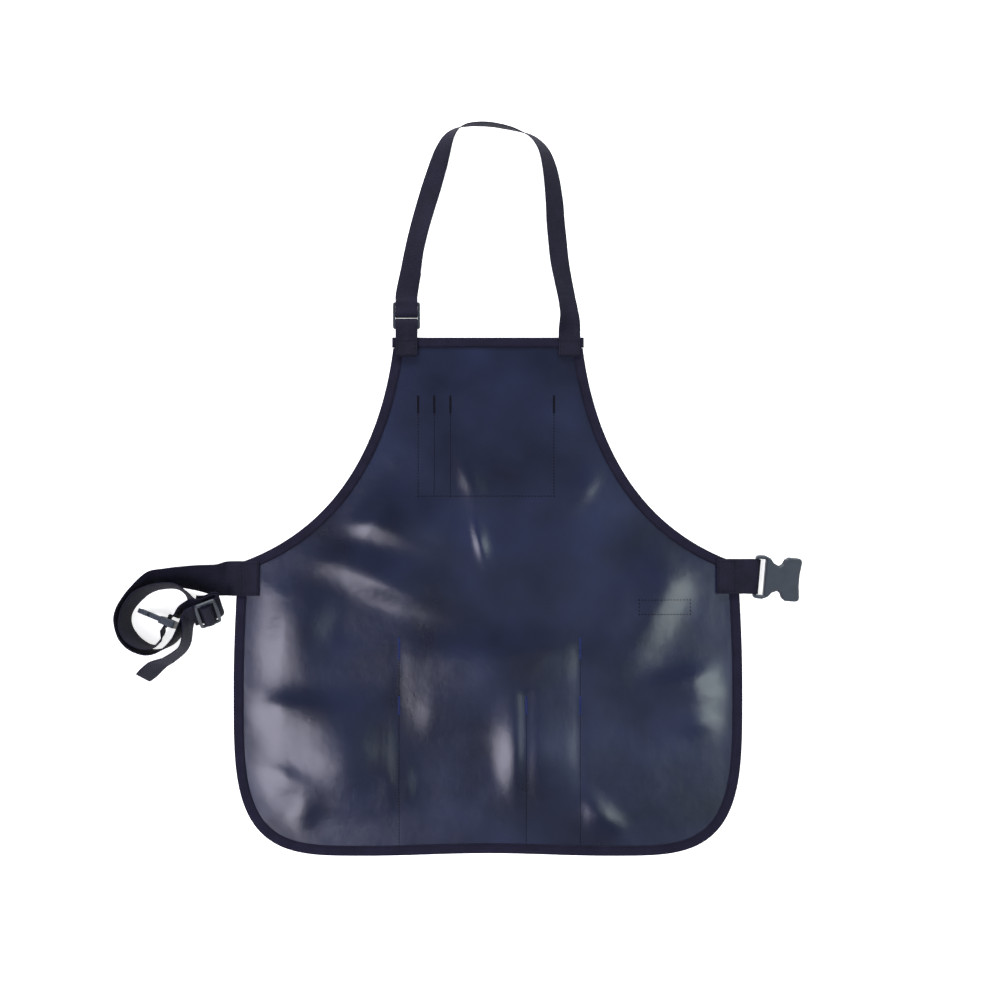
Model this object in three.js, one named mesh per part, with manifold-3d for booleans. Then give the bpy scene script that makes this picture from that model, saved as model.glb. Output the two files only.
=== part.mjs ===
// Bib apron in coated cloth with webbing straps, laid flat with the wearer's side up.
// Millimetres, +Z up, +Y towards the neck strap, +X to the right of the picture.
import * as THREE from 'three';
import { mergeVertices } from 'three/addons/utils/BufferGeometryUtils.js';
import Module from 'manifold-3d';

const wasm = await Module();
wasm.setup();

// Body
const body_width = 584;
const body_length = 595;
const waist_width = 573;
const bib_width = 215;
const armhole_depth = 259;
const corner_reach = 152;
const corner_rise = 192;
const corner_power = 3.7;
const hem_wave = 3;
const panel_wall = 1;

// Folded tape round the edges
const tape_width = 11.5;
const tape_wall = 1;
const tape_overhang = 2.5;

// Pockets, on the side that lies down
const pocket_wall = 1;
const bib_pocket_width = 162;
const bib_pocket_height = 121;
const bib_pocket_drop = 64;
const bib_pocket_shift = -2.2;
const tall_pocket_width = 214;
const tall_pocket_height = 236;
const tall_pocket_shift = 2;
const lower_pocket_height = 183;
const pen_slot_width = 18.5;
const pocket_divider_offset = 42;
const seam_margin = 3;

// Webbing
const neck_webbing_width = 25;
const waist_webbing_width = 40;
const webbing_wall = 1.2;
const neck_loop_height = 246;
const neck_tail_length = 64;
const neck_patch = 22;
const waist_patch = 24;
const waist_turn_reach = 140;
const waist_strap_drop = 17.5;
const waist_loop_drop = 15;

// Buckles
const lock_length = 33;
const lock_thickness = 4;
const lock_bar = 4;
const lock_rim = 2.8;
const slider_length = 26;
const slider_thickness = 3;
const slider_bar = 4;
const slider_rim = 4;
const buckle_width = 50;
const male_length = 45;
const male_thickness = 8.4;
const female_length = 53;
const female_thickness = 12;
const female_wall = 2.2;
const female_turn = -5;
const female_bar = 4;
const female_slot = 8;
const female_reach = 18.5;

// Fits
const clearance = 0.3;
const fold_height = 10;
const seam_pull = 0.25;
const seam_reach = 9;
const edge_flat = 2;
const edge_fade = 45;
const rest_change = 60;

// Grid density
const armhole_steps = 14;
const side_steps = 8;
const corner_steps = 14;
const panel_columns = 28;

const half_body = body_width / 2;
const half_waist = waist_width / 2;
const half_bib = bib_width / 2;
const hem_level = armhole_depth - body_length;
const corner_level = hem_level + corner_rise;
const tape_inset = tape_wall + clearance;
const bib_rest = tape_wall + clearance;
const skirt_rest = bib_rest + pocket_wall + clearance;
const ground = 0;

// Neck strap, from the lock round to the right: x and y are shares of neck_loop_height from the
// bib's top centre. heading is where the raised edge points, lean how far it rises from flat,
// both in degrees, and lift counts layers of webbing below it.
const neck_left = { x: -0.380, y: 0.108 };
const neck_right = { x: 0.380 };
const neck_run = [
  { x: -0.381, y: 0.192, heading: 0, lean: 4, lift: 2.6 },
  { x: -0.372, y: 0.248, heading: -4, lean: 12, lift: 1.5 },
  { x: -0.360, y: 0.309, heading: -8, lean: 18, lift: 1.4 },
  { x: -0.344, y: 0.402, heading: -12, lean: 26, lift: 1.2 },
  { x: -0.320, y: 0.505, heading: -15, lean: 26, lift: 1.0 },
  { x: -0.297, y: 0.589, heading: -17, lean: 24, lift: 0 },
  { x: -0.266, y: 0.692, heading: -18, lean: 22, lift: 0 },
  { x: -0.231, y: 0.804, heading: -19, lean: 30, lift: 0 },
  { x: -0.213, y: 0.860, heading: -24, lean: 38, lift: 0 },
  { x: -0.189, y: 0.916, heading: -35, lean: 52, lift: 0 },
  { x: -0.166, y: 0.947, heading: -45, lean: 64, lift: 0 },
  { x: -0.136, y: 0.970, heading: -58, lean: 77, lift: 0 },
  { x: -0.093, y: 0.984, heading: -72, lean: 86, lift: 0 },
  { x: -0.037, y: 0.988, heading: -84, lean: 90, lift: 0 },
  { x: 0.019, y: 0.985, heading: -93, lean: 90, lift: 0 },
  { x: 0.070, y: 0.976, heading: -100, lean: 89, lift: 0 },
  { x: 0.117, y: 0.965, heading: -108, lean: 86, lift: 0 },
  { x: 0.159, y: 0.951, heading: -115, lean: 80, lift: 0 },
  { x: 0.201, y: 0.933, heading: -128, lean: 74, lift: 0 },
  { x: 0.236, y: 0.902, heading: -142, lean: 66, lift: 0 },
  { x: 0.264, y: 0.860, heading: -158, lean: 57, lift: 0 },
  { x: 0.283, y: 0.804, heading: -167, lean: 49, lift: 0 },
  { x: 0.295, y: 0.748, heading: -171, lean: 43, lift: 0 },
  { x: 0.310, y: 0.626, heading: -175, lean: 34, lift: 0 },
  { x: 0.315, y: 0.542, heading: -176, lean: 31, lift: 0 },
  { x: 0.323, y: 0.458, heading: -173, lean: 29, lift: 0 },
  { x: 0.334, y: 0.355, heading: -171, lean: 30, lift: 0 },
  { x: 0.351, y: 0.262, heading: -169, lean: 34, lift: 0 },
  { x: 0.368, y: 0.178, heading: -168, lean: 36, lift: 0 },
  { x: 0.379, y: 0.112, heading: -171, lean: 30, lift: 0.6 },
  { x: 0.381, y: 0.061, heading: -178, lean: 12, lift: 1.8 },
];

// Waist strap, in shares of waist_turn_reach from the body's left corner at the waist. heading
// and lean are as above, and lift is a share of the webbing's width.
const outer_turn = [
  { x: -0.089, y: -0.126, heading: 90, lean: 8, lift: 0.01 },
  { x: -0.173, y: -0.133, heading: 90, lean: 26, lift: 0.0 },
  { x: -0.315, y: -0.118, heading: 92, lean: 40, lift: 0.0 },
  { x: -0.433, y: -0.112, heading: 94, lean: 49, lift: 0.0 },
  { x: -0.559, y: -0.113, heading: 97, lean: 56, lift: 0.0 },
  { x: -0.682, y: -0.124, heading: 105, lean: 62, lift: 0.0 },
  { x: -0.805, y: -0.212, heading: 136, lean: 73, lift: 0.0 },
  { x: -0.871, y: -0.282, heading: 148, lean: 77, lift: 0.0 },
  { x: -0.920, y: -0.355, heading: 160, lean: 79, lift: 0.0 },
  { x: -0.943, y: -0.436, heading: 173, lean: 79.5, lift: 0.0 },
  { x: -0.933, y: -0.514, heading: 192, lean: 79.5, lift: 0.0 },
  { x: -0.904, y: -0.594, heading: 210, lean: 80, lift: 0.0 },
  { x: -0.850, y: -0.657, heading: 230, lean: 81, lift: 0.0 },
  { x: -0.791, y: -0.695, heading: 250, lean: 83, lift: 0.0 },
  { x: -0.710, y: -0.719, heading: 268, lean: 85, lift: 0.0 },
  { x: -0.627, y: -0.709, heading: 285, lean: 88, lift: 0.0 },
  { x: -0.545, y: -0.665, heading: 130, lean: 87, lift: 0.03 },
  { x: -0.47, y: -0.585, heading: 118, lean: 84, lift: 0.06 },
];
const arch = [
  { x: -0.364, y: -0.371, heading: 98, lean: 50, lift: 0.17 },
  { x: -0.430, y: -0.388, heading: 90, lean: 66, lift: 0.14 },
  { x: -0.479, y: -0.429, heading: 74, lean: 80, lift: 0.12 },
];
const inner_turn = [
  { x: -0.594, y: -0.587, heading: 10, lean: 82, lift: 0.08 },
  { x: -0.627, y: -0.634, heading: 330, lean: 82, lift: 0.03 },
  { x: -0.689, y: -0.679, heading: 265, lean: 88, lift: 0.0 },
  { x: -0.779, y: -0.655, heading: 235, lean: 83, lift: 0.0 },
  { x: -0.861, y: -0.591, heading: 212, lean: 78, lift: 0.0 },
  { x: -0.903, y: -0.506, heading: 190, lean: 79, lift: 0.0 },
  { x: -0.902, y: -0.432, heading: 172, lean: 81, lift: 0.0 },
  { x: -0.882, y: -0.366, heading: 155, lean: 79, lift: 0.0 },
  { x: -0.803, y: -0.263, heading: 135, lean: 75, lift: 0.0 },
  { x: -0.734, y: -0.217, heading: 118, lean: 77, lift: 0.0 },
  { x: -0.647, y: -0.188, heading: 95, lean: 78, lift: 0.0 },
  { x: -0.493, y: -0.184, heading: 80, lean: 77, lift: 0.0 },
  { x: -0.405, y: -0.241, heading: 62, lean: 76, lift: 0.0 },
  { x: -0.340, y: -0.315, heading: 80, lean: 60, lift: 0.0 },
];
const tail = [
  { x: -0.42, y: -0.67, heading: 118, lean: 80, lift: 0.09 },
  { x: -0.54, y: -0.775, heading: 127, lean: 76, lift: 0.04 },
  { x: -0.644, y: -0.826, heading: 146, lean: 66, lift: 0.03 },
  { x: -0.718, y: -0.891, heading: 164, lean: 61, lift: 0.01 },
  { x: -0.763, y: -0.930, heading: 184, lean: 58, lift: 0.034 },
];

// The webbing's two ways through the slider, seen from its end. along is a share of half the
// slider's length, above a share of half its thickness with one layer of webbing.
const first_pass = [
  { along: -1.3, above: -1.5 },
  { along: -1, above: -1.45 },
  { along: -0.65, above: -1.42 },
  { along: -0.47, above: -1.2 },
  { along: -0.315, above: -0.2 },
  { along: -0.277, above: 0.4 },
  { along: -0.154, above: 0.83 },
  { along: 0, above: 0.9 },
  { along: 0.154, above: 0.83 },
  { along: 0.277, above: 0.4 },
  { along: 0.315, above: -0.2 },
  { along: 0.47, above: -1.2 },
  { along: 0.65, above: -1.42 },
  { along: 1, above: -1.35 },
  { along: 1.185, above: -1.8 },
  { along: 1.246, above: -2.47 },
  { along: 1.138, above: -3.07 },
  { along: 0.62, above: -3.2 },
  { along: -0.15, above: -3.13 },
];
const second_pass = [
  { along: 0.15, above: -4.2 },
  { along: 0.7, above: -4.1 },
  { along: 1.246, above: -3.8 },
  { along: 1.41, above: -2.67 },
  { along: 1.32, above: -1.47 },
  { along: 1.09, above: -0.95 },
  { along: 0.88, above: -0.83 },
  { along: 0.63, above: -0.85 },
  { along: 0.446, above: 0.13 },
  { along: 0.385, above: 0.87 },
  { along: 0.215, above: 1.4 },
  { along: 0, above: 1.47 },
  { along: -0.215, above: 1.4 },
  { along: -0.385, above: 0.87 },
  { along: -0.446, above: 0.13 },
  { along: -0.63, above: -0.92 },
  { along: -0.92, above: -0.95 },
  { along: -1.5, above: -0.97 },
];

// Where the hard parts sit on the waist strap: the slider's middle and the bar end of the male
// buckle, in the same shares. Their widths lean as the webbing does.
const slider_seat = { x: -0.225, y: -0.405, lift: 0.652, heading: 94, lean: 56, roll: 20 };
const male_seat = { x: -0.485, y: -0.5, heading: 50, lean: 83, point: 157 };

// The webbing through the male buckle's slot: along is a share of its length from the bar end,
// above a share of its thickness.
const slot_pass = [
  { along: 0.2, above: 1.02 },
  { along: 0.22, above: 0.55 },
  { along: 0.222, above: 0 },
  { along: 0.225, above: -0.55 },
  { along: 0.25, above: -0.95 },
];

// Lengths are shares of half the body's width, y is a share of its length from the hem,
// and high is a share of fold_height. near and far are the two flanks' reaches.
const folds = [
  { name: 'left_side', x: -0.740, y: 0.440, turn: 80, long: 0.210, near: 0.150, far: 0.140, high: 0.75 },
  { name: 'left_crease', x: -0.570, y: 0.195, turn: 90, long: 0.200, near: 0.230, far: 0.180, high: 1.05 },
  { name: 'left_shelf', x: -0.808, y: 0.286, turn: -2, long: 0.230, near: 0.060, far: 0.090, high: 0.50 },
  { name: 'left_corner', x: -0.808, y: 0.151, turn: -22, long: 0.110, near: 0.047, far: 0.079, high: 0.30 },
  { name: 'left_corner_rim', x: -0.729, y: 0.072, turn: 80, long: 0.095, near: 0.047, far: 0.055, high: 0.30 },
  { name: 'pocket_bulge', x: -0.205, y: 0.272, turn: 88, long: 0.120, near: 0.085, far: 0.230, high: 0.35 },
  { name: 'pocket_low_bulge', x: -0.350, y: 0.140, turn: 8, long: 0.079, near: 0.075, far: 0.100, high: 0.30 },
  { name: 'middle_streak', x: 0.120, y: 0.203, turn: 88, long: 0.165, near: 0.075, far: 0.240, high: 0.65 },
  { name: 'right_diagonal', x: 0.461, y: 0.064, turn: -48, long: 0.118, near: 0.051, far: 0.079, high: 0.50 },
  { name: 'right_pucker_low', x: 0.883, y: 0.261, turn: 5, long: 0.118, near: 0.039, far: 0.055, high: 0.28 },
  { name: 'right_pucker_high', x: 0.922, y: 0.319, turn: 12, long: 0.095, near: 0.035, far: 0.043, high: 0.22 },
  { name: 'right_waist', x: 0.658, y: 0.487, turn: 63, long: 0.260, near: 0.118, far: 0.095, high: 0.60 },
  { name: 'left_band', x: -0.420, y: 0.640, turn: -18, long: 0.240, near: 0.115, far: 0.070, high: 0.85 },
  { name: 'left_slant', x: -0.410, y: 0.532, turn: -22, long: 0.270, near: 0.105, far: 0.075, high: 0.80 },
  { name: 'centre_crease', x: -0.035, y: 0.609, turn: -77, long: 0.075, near: 0.032, far: 0.020, high: 0.30 },
  { name: 'centre_fade', x: -0.067, y: 0.717, turn: -72, long: 0.095, near: 0.055, far: 0.039, high: 0.25 },
  { name: 'armhole_nick', x: -0.398, y: 0.771, turn: -32, long: 0.059, near: 0.028, far: 0.024, high: 0.12 },
  { name: 'right_bib_slant', x: 0.410, y: 0.721, turn: 49, long: 0.118, near: 0.055, far: 0.039, high: 0.26 },
  { name: 'middle_roll', x: 0.028, y: 0.377, turn: 0, long: 0.347, near: 0.105, far: 0.180, high: 0.75 },
  { name: 'right_shelf', x: 0.790, y: 0.335, turn: 14, long: 0.190, near: 0.060, far: 0.160, high: 0.50 },
  { name: 'middle_hollow', x: -0.158, y: 0.155, turn: 86, long: 0.205, near: 0.150, far: 0.158, high: -0.30 },
  { name: 'right_hollow', x: 0.796, y: 0.149, turn: 70, long: 0.102, near: 0.087, far: 0.079, high: -0.26 },
  { name: 'left_hollow', x: -0.559, y: 0.446, turn: 18, long: 0.126, near: 0.071, far: 0.071, high: -0.24 },
];

// The handles of the armhole's curve, as shares of its reach and depth.
const armhole_top = { across: 0.047, down: 0.321 };
const armhole_foot = { across: 0.238, down: 0.819 };

const rad = THREE.MathUtils.degToRad;
const smooth = (v, low, high) => THREE.MathUtils.smoothstep(v, low, high);

const colours = {
  cloth: { color: 0x262c44, roughness: 0.38, metalness: 0 },
  tape: { color: 0x1d1b2b, roughness: 0.85, metalness: 0 },
  webbing: { color: 0x1b1c2a, roughness: 0.85, metalness: 0 },
  plastic: { color: 0x2c343c, roughness: 0.42, metalness: 0 },
};

const root = new THREE.Group();

function addMesh(name, geometry, look) {
  const material = new THREE.MeshStandardMaterial(colours[look]);
  const mesh = new THREE.Mesh(geometry, material);
  mesh.name = name;
  root.add(mesh);
  return mesh;
}

// A closed geometry from points and triangles, turned so that its faces point out.
function solidFrom(points, triangles) {
  const geometry = new THREE.BufferGeometry();
  const flat = points.flatMap((p) => [p.x, p.y, p.z]);
  geometry.setAttribute('position', new THREE.Float32BufferAttribute(flat, 3));
  let volume = 0;
  for (const [a, b, c] of triangles) {
    volume += points[a].dot(new THREE.Vector3().crossVectors(points[b], points[c]));
  }
  const faces = volume < 0 ? triangles.map(([a, b, c]) => [a, c, b]) : triangles;
  geometry.setIndex(faces.flat());
  return geometry;
}

// Rings of equal length joined into a closed body, with its two ends capped. The second half of
// the section splits its faces the other way, so that a thin twisted sweep keeps its thickness.
function sweepRings(rings, section) {
  const count = rings[0].length;
  const triangles = [];
  for (let i = 0; i < rings.length - 1; i += 1) {
    for (let k = 0; k < count; k += 1) {
      const a = i * count + k;
      const b = i * count + ((k + 1) % count);
      if (k < count / 2) triangles.push([a, b, b + count], [a, b + count, a + count]);
      else triangles.push([a, b, a + count], [b, b + count, a + count]);
    }
  }
  const last = (rings.length - 1) * count;
  for (const [a, b, c] of THREE.ShapeUtils.triangulateShape(section, [])) {
    triangles.push([c, b, a], [last + a, last + b, last + c]);
  }
  return solidFrom(rings.flat(), triangles);
}

// A sheet between two matching grids of points.
function sheetSolid(lower, upper) {
  const rows = lower.length;
  const columns = lower[0].length;
  const points = [...lower.flat(), ...upper.flat()];
  const half = rows * columns;
  const at = (i, j) => i * columns + j;
  const triangles = [];
  for (let i = 0; i < rows - 1; i += 1) {
    for (let j = 0; j < columns - 1; j += 1) {
      const [a, b, c, d] = [at(i, j), at(i, j + 1), at(i + 1, j + 1), at(i + 1, j)];
      triangles.push([a, c, b], [a, d, c]);
      triangles.push([half + a, half + b, half + c], [half + a, half + c, half + d]);
    }
  }
  const rim = [];
  for (let j = 0; j < columns - 1; j += 1) rim.push(at(0, j));
  for (let i = 0; i < rows - 1; i += 1) rim.push(at(i, columns - 1));
  for (let j = columns - 1; j > 0; j -= 1) rim.push(at(rows - 1, j));
  for (let i = rows - 1; i > 0; i -= 1) rim.push(at(i, 0));
  rim.forEach((a, k) => {
    const b = rim[(k + 1) % rim.length];
    triangles.push([a, b, half + b], [a, half + b, half + a]);
  });
  return solidFrom(points, triangles);
}

function toManifold(geometry) {
  const bare = geometry.clone();
  bare.deleteAttribute('normal');
  bare.deleteAttribute('uv');
  const merged = mergeVertices(bare, 1e-4);
  return new wasm.Manifold(new wasm.Mesh({
    numProp: 3,
    vertProperties: Float32Array.from(merged.attributes.position.array),
    triVerts: Uint32Array.from(merged.index.array),
  }));
}

function fromManifold(solid) {
  const mesh = solid.getMesh();
  const geometry = new THREE.BufferGeometry();
  geometry.setAttribute('position', new THREE.BufferAttribute(mesh.vertProperties, 3));
  geometry.setIndex(new THREE.BufferAttribute(mesh.triVerts, 1));
  return geometry;
}

// Outline of the right half, from the hem up: points with their outward normals.

const armhole = new THREE.CubicBezierCurve(
  new THREE.Vector2(half_bib, armhole_depth),
  new THREE.Vector2(
    half_bib + armhole_top.across * (half_waist - half_bib),
    armhole_depth * (1 - armhole_top.down),
  ),
  new THREE.Vector2(
    half_bib + armhole_foot.across * (half_waist - half_bib),
    armhole_depth * (1 - armhole_foot.down),
  ),
  new THREE.Vector2(half_waist, 0),
);

function armholePoint(t) {
  const p = armhole.getPoint(t);
  const along = armhole.getTangent(t);
  return { x: p.x, y: p.y, nx: -along.y, ny: along.x };
}

// The side widens from the waist to the body's full width.
function sidePoint(t) {
  const spread = half_body - half_waist;
  const turn = (t * Math.PI) / 2;
  const along = new THREE.Vector2(-spread * Math.sin(turn) * (Math.PI / 2), -corner_level);
  along.normalize();
  return { x: half_waist + spread * Math.cos(turn), y: corner_level * (1 - t), nx: along.y, ny: -along.x };
}

// A corner's normal, long enough that an inset along it clears both of the corner's sides.
function mitre(corner, next) {
  const cosine = corner.nx * next.nx + corner.ny * next.ny;
  corner.nx = (corner.nx + next.nx) / (1 + cosine);
  corner.ny = (corner.ny + next.ny) / (1 + cosine);
}

// The hem's corner is a quarter of a superellipse, finely divided at both ends.
function cornerPoint(t) {
  const angle = (1 - smooth(t, 0, 1)) * (Math.PI / 2);
  const across = Math.max(Math.cos(angle), 0) ** (2 / corner_power);
  const down = Math.max(Math.sin(angle), 0) ** (2 / corner_power);
  const normal = new THREE.Vector2(
    across ** (corner_power - 1) / corner_reach,
    -(down ** (corner_power - 1)) / corner_rise,
  ).normalize();
  return {
    x: half_body - corner_reach + corner_reach * across,
    y: corner_level - corner_rise * down,
    nx: normal.x,
    ny: normal.y,
  };
}

const steps = (count, from = 0) => Array.from({ length: count + 1 - from }, (_, k) => (k + from) / count);
const corner_row = steps(corner_steps).filter((t) => t === 0 || t > 0.1).map(cornerPoint);
const side_row = steps(side_steps, 1).map(sidePoint);
const armhole_row = steps(armhole_steps, 1).map((t) => armholePoint(1 - t));
mitre(side_row[side_row.length - 1], armholePoint(1));
const outline = [...corner_row, ...side_row, ...armhole_row];
const fine_outline = [
  ...steps(60).map(cornerPoint),
  ...steps(20, 1).map(sidePoint),
  ...steps(60, 1).map((t) => armholePoint(1 - t)),
];

// Half the body's width at a height, and how squarely the edge faces sideways there.
function edgeAt(y) {
  const k = fine_outline.findIndex((p) => p.y >= y);
  if (k < 0) return fine_outline[fine_outline.length - 1];
  if (k === 0) return fine_outline[0];
  const [a, b] = [fine_outline[k - 1], fine_outline[k]];
  const f = (y - a.y) / (b.y - a.y);
  return { x: a.x + f * (b.x - a.x), nx: a.nx + f * (b.nx - a.nx) };
}

// How far a point lies from the nearest edge of the body.
function edgeDistance(x, y) {
  let nearest = Math.min((y - hem_level) ** 2, (armhole_depth - y) ** 2);
  for (let k = 1; k < fine_outline.length; k += 1) {
    const [a, b] = [fine_outline[k - 1], fine_outline[k]];
    const [along_x, along_y] = [b.x - a.x, b.y - a.y];
    const [dx, dy] = [Math.abs(x) - a.x, y - a.y];
    const share = (dx * along_x + dy * along_y) / (along_x ** 2 + along_y ** 2);
    const t = THREE.MathUtils.clamp(share, 0, 1);
    nearest = Math.min(nearest, (dx - t * along_x) ** 2 + (dy - t * along_y) ** 2);
  }
  return Math.sqrt(nearest);
}

// The cloth's folds: ridges and hollows with two different flanks.
function foldHeight(x, y) {
  return folds.reduce((sum, fold) => {
    const dx = x - fold.x * half_body;
    const dy = y - (hem_level + fold.y * body_length);
    const c = Math.cos(rad(fold.turn));
    const s = Math.sin(rad(fold.turn));
    const along = (dx * c + dy * s) / (fold.long * half_body);
    const side = dy * c - dx * s;
    const across = side / ((side > 0 ? fold.near : fold.far) * half_body);
    return sum + fold.high * fold_height * Math.exp(-along * along - across * across);
  }, 0);
}

const spot = (x, y) => new THREE.Vector3(x, y, 0);
const line = (x, y, to_x, to_y) => new THREE.Line3(spot(x, y), spot(to_x, to_y));

// Stitch lines of the pockets: the bib pocket with its pen slots, then the skirt's pockets.
function seamLines() {
  const half = bib_pocket_width / 2 - seam_margin;
  const left = bib_pocket_shift - half;
  const right = bib_pocket_shift + half;
  const top = armhole_depth - bib_pocket_drop - seam_margin;
  const low = armhole_depth - bib_pocket_drop - bib_pocket_height + seam_margin;
  const bib = [left, left + pen_slot_width, left + 2 * pen_slot_width, right].map((x) => line(x, low, x, top));
  const skirt_low = hem_level + tape_width;
  const tall_half = tall_pocket_width / 2 - seam_margin;
  const tall_top = hem_level + tall_pocket_height;
  const row_top = hem_level + lower_pocket_height;
  const divider = tall_pocket_shift + pocket_divider_offset;
  return [
    ...bib,
    line(left, low, right, low),
    line(tall_pocket_shift - tall_half, skirt_low, tall_pocket_shift - tall_half, tall_top),
    line(tall_pocket_shift + tall_half, skirt_low, tall_pocket_shift + tall_half, tall_top),
    line(divider, skirt_low, divider, row_top),
  ];
}

const seams = seamLines();

// Stitch lines hold the cloth down to its pockets.
function seamHold(x, y) {
  const point = new THREE.Vector3(x, y, 0);
  const nearest = new THREE.Vector3();
  return seams.reduce((hold, seam) => {
    const d = seam.closestPointToPoint(point, true, nearest).distanceTo(point) / seam_reach;
    return hold * (1 - seam_pull * Math.exp(-d * d));
  }, 1);
}

// The cloth rests on the tape and one pocket layer in the skirt, and lower in the bib.
function restHeight(y) {
  return skirt_rest + (bib_rest - skirt_rest) * smooth(y, 0, rest_change);
}

function underHeight(x, y) {
  const fade = smooth(edgeDistance(x, y), tape_width + edge_flat, tape_width + edge_flat + edge_fade);
  const rise = foldHeight(x, y) * seamHold(x, y);
  const lifted = (rise + Math.sqrt(rise * rise + 1)) / 2;
  return restHeight(y) + lifted * fade;
}

// A point of the cloth as it lies, with the hem's shallow wave.
function laid(x, y, z) {
  const flat_hem = half_body - corner_reach;
  const wave = Math.abs(x) < flat_hem ? (1 + Math.cos((Math.PI * x) / flat_hem)) / 2 : 0;
  const near_hem = 1 - smooth(y, hem_level, hem_level + corner_rise);
  return new THREE.Vector3(x, y + hem_wave * wave * near_hem, z);
}

// Places across a row, from -1 to 1, with one column just inside each edge's tape.
function rowPlaces(edge, columns) {
  const band = Math.min((tape_width + edge_flat) / Math.max(edge.nx, 0.1), edge.x * 0.4);
  const inner = edge.x - band;
  const middle = steps(columns - 2).map((t) => inner * (2 * t - 1));
  return [-edge.x, ...middle, edge.x];
}

function insetRows(rows, inset) {
  return rows.map((p) => ({ x: p.x - inset * p.nx, y: p.y - inset * p.ny, nx: p.nx }));
}

function addPanel() {
  const rows = insetRows(outline, tape_inset);
  rows[rows.length - 1].y = armhole_depth - tape_inset;
  const lower = [];
  const upper = [];
  for (const row of rows) {
    const places = rowPlaces(row, panel_columns);
    lower.push(places.map((x) => laid(x, row.y, underHeight(x, row.y))));
    upper.push(places.map((x) => laid(x, row.y, underHeight(x, row.y) + panel_wall)));
  }
  addMesh('apron_panel', sheetSolid(lower, upper), 'cloth');
}

// A tape folded over an edge: a path of edge points, and what it holds below the panel.
function addTape(name, path, held_below) {
  const top = panel_wall + clearance + tape_wall;
  const bottom = -clearance - held_below - tape_wall;
  const section = [
    new THREE.Vector2(0, bottom),
    new THREE.Vector2(tape_width, bottom),
    new THREE.Vector2(tape_width, bottom + tape_wall),
    new THREE.Vector2(tape_wall, bottom + tape_wall),
    new THREE.Vector2(tape_wall, top - tape_wall),
    new THREE.Vector2(tape_width, top - tape_wall),
    new THREE.Vector2(tape_width, top),
    new THREE.Vector2(0, top),
  ];
  const rings = path.map((p) => section.map((corner) => {
    const x = p.x - corner.x * p.nx;
    const y = p.y - corner.x * p.ny;
    return laid(x, y, underHeight(x, y) + corner.y);
  }));
  addMesh(name, sweepRings(rings, section), 'tape');
}

function mirrored(path) {
  return path.map((p) => ({ x: -p.x, y: p.y, nx: -p.nx, ny: p.ny }));
}

// The armhole's parameter at which its curve comes down to a height.
function armholeParameter(y) {
  let [low, high] = [0, 1];
  for (let k = 0; k < 30; k += 1) {
    const middle = (low + high) / 2;
    if (armhole.getPoint(middle).y > y) low = middle;
    else high = middle;
  }
  return low;
}

function addBindings() {
  const bib_reach = half_bib + tape_overhang;
  const bib_path = steps(12).map((t) => ({ x: bib_reach * (2 * t - 1), y: armhole_depth, nx: 0, ny: 1 }));
  addTape('bib_binding', bib_path, 0);
  const first = armholeParameter(armhole_depth - tape_width - clearance);
  const armhole_path = [
    armholePoint(first),
    ...steps(armhole_steps, 1).filter((t) => t > first + 0.01).map(armholePoint),
  ];
  addTape('armhole_binding_right', armhole_path, 0);
  addTape('armhole_binding_left', mirrored(armhole_path), 0);
  const start = (tape_width + clearance) / -corner_level;
  const right = [
    ...corner_row,
    ...side_row.filter((p) => p.y < -tape_width - clearance),
    sidePoint(1 - start),
  ];
  const flat_hem = half_body - corner_reach;
  const hem = steps(14).slice(1, -1).map((t) => ({ x: flat_hem * (2 * t - 1), y: hem_level, nx: 0, ny: -1 }));
  addTape('hem_binding', [...mirrored(right).reverse(), ...hem, ...right], pocket_wall + clearance);
}

function plate(width, height, wall, centre_x, low_y, low_z) {
  const columns = steps(10).map((t) => centre_x + width * (t - 0.5));
  const rows = steps(8).map((t) => low_y + height * t);
  const at = (z) => rows.map((y) => columns.map((x) => laid(x, y, z)));
  return sheetSolid(at(low_z), at(low_z + wall));
}

function addPockets() {
  const bib_low = armhole_depth - bib_pocket_drop - bib_pocket_height;
  addMesh(
    'bib_pocket',
    plate(bib_pocket_width, bib_pocket_height, pocket_wall, bib_pocket_shift, bib_low, ground),
    'cloth',
  );
  const tall_low = hem_level + tape_width + edge_flat;
  const tall_z = pocket_wall + clearance;
  addMesh(
    'tall_pocket',
    plate(tall_pocket_width, tall_pocket_height, pocket_wall, tall_pocket_shift, tall_low, tall_z),
    'cloth',
  );
  const mouth = hem_level + lower_pocket_height;
  const inside = tape_width + 2 * clearance;
  const rows = insetRows(corner_row, inside).filter((row) => row.y < mouth - seam_margin);
  rows.push({ x: edgeAt(mouth).x - inside, y: mouth });
  const grid = (z) => rows.map((row) => steps(12).map((t) => laid(row.x * (2 * t - 1), row.y, z)));
  addMesh('lower_pocket', sheetSolid(grid(ground), grid(pocket_wall)), 'cloth');
}

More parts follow.
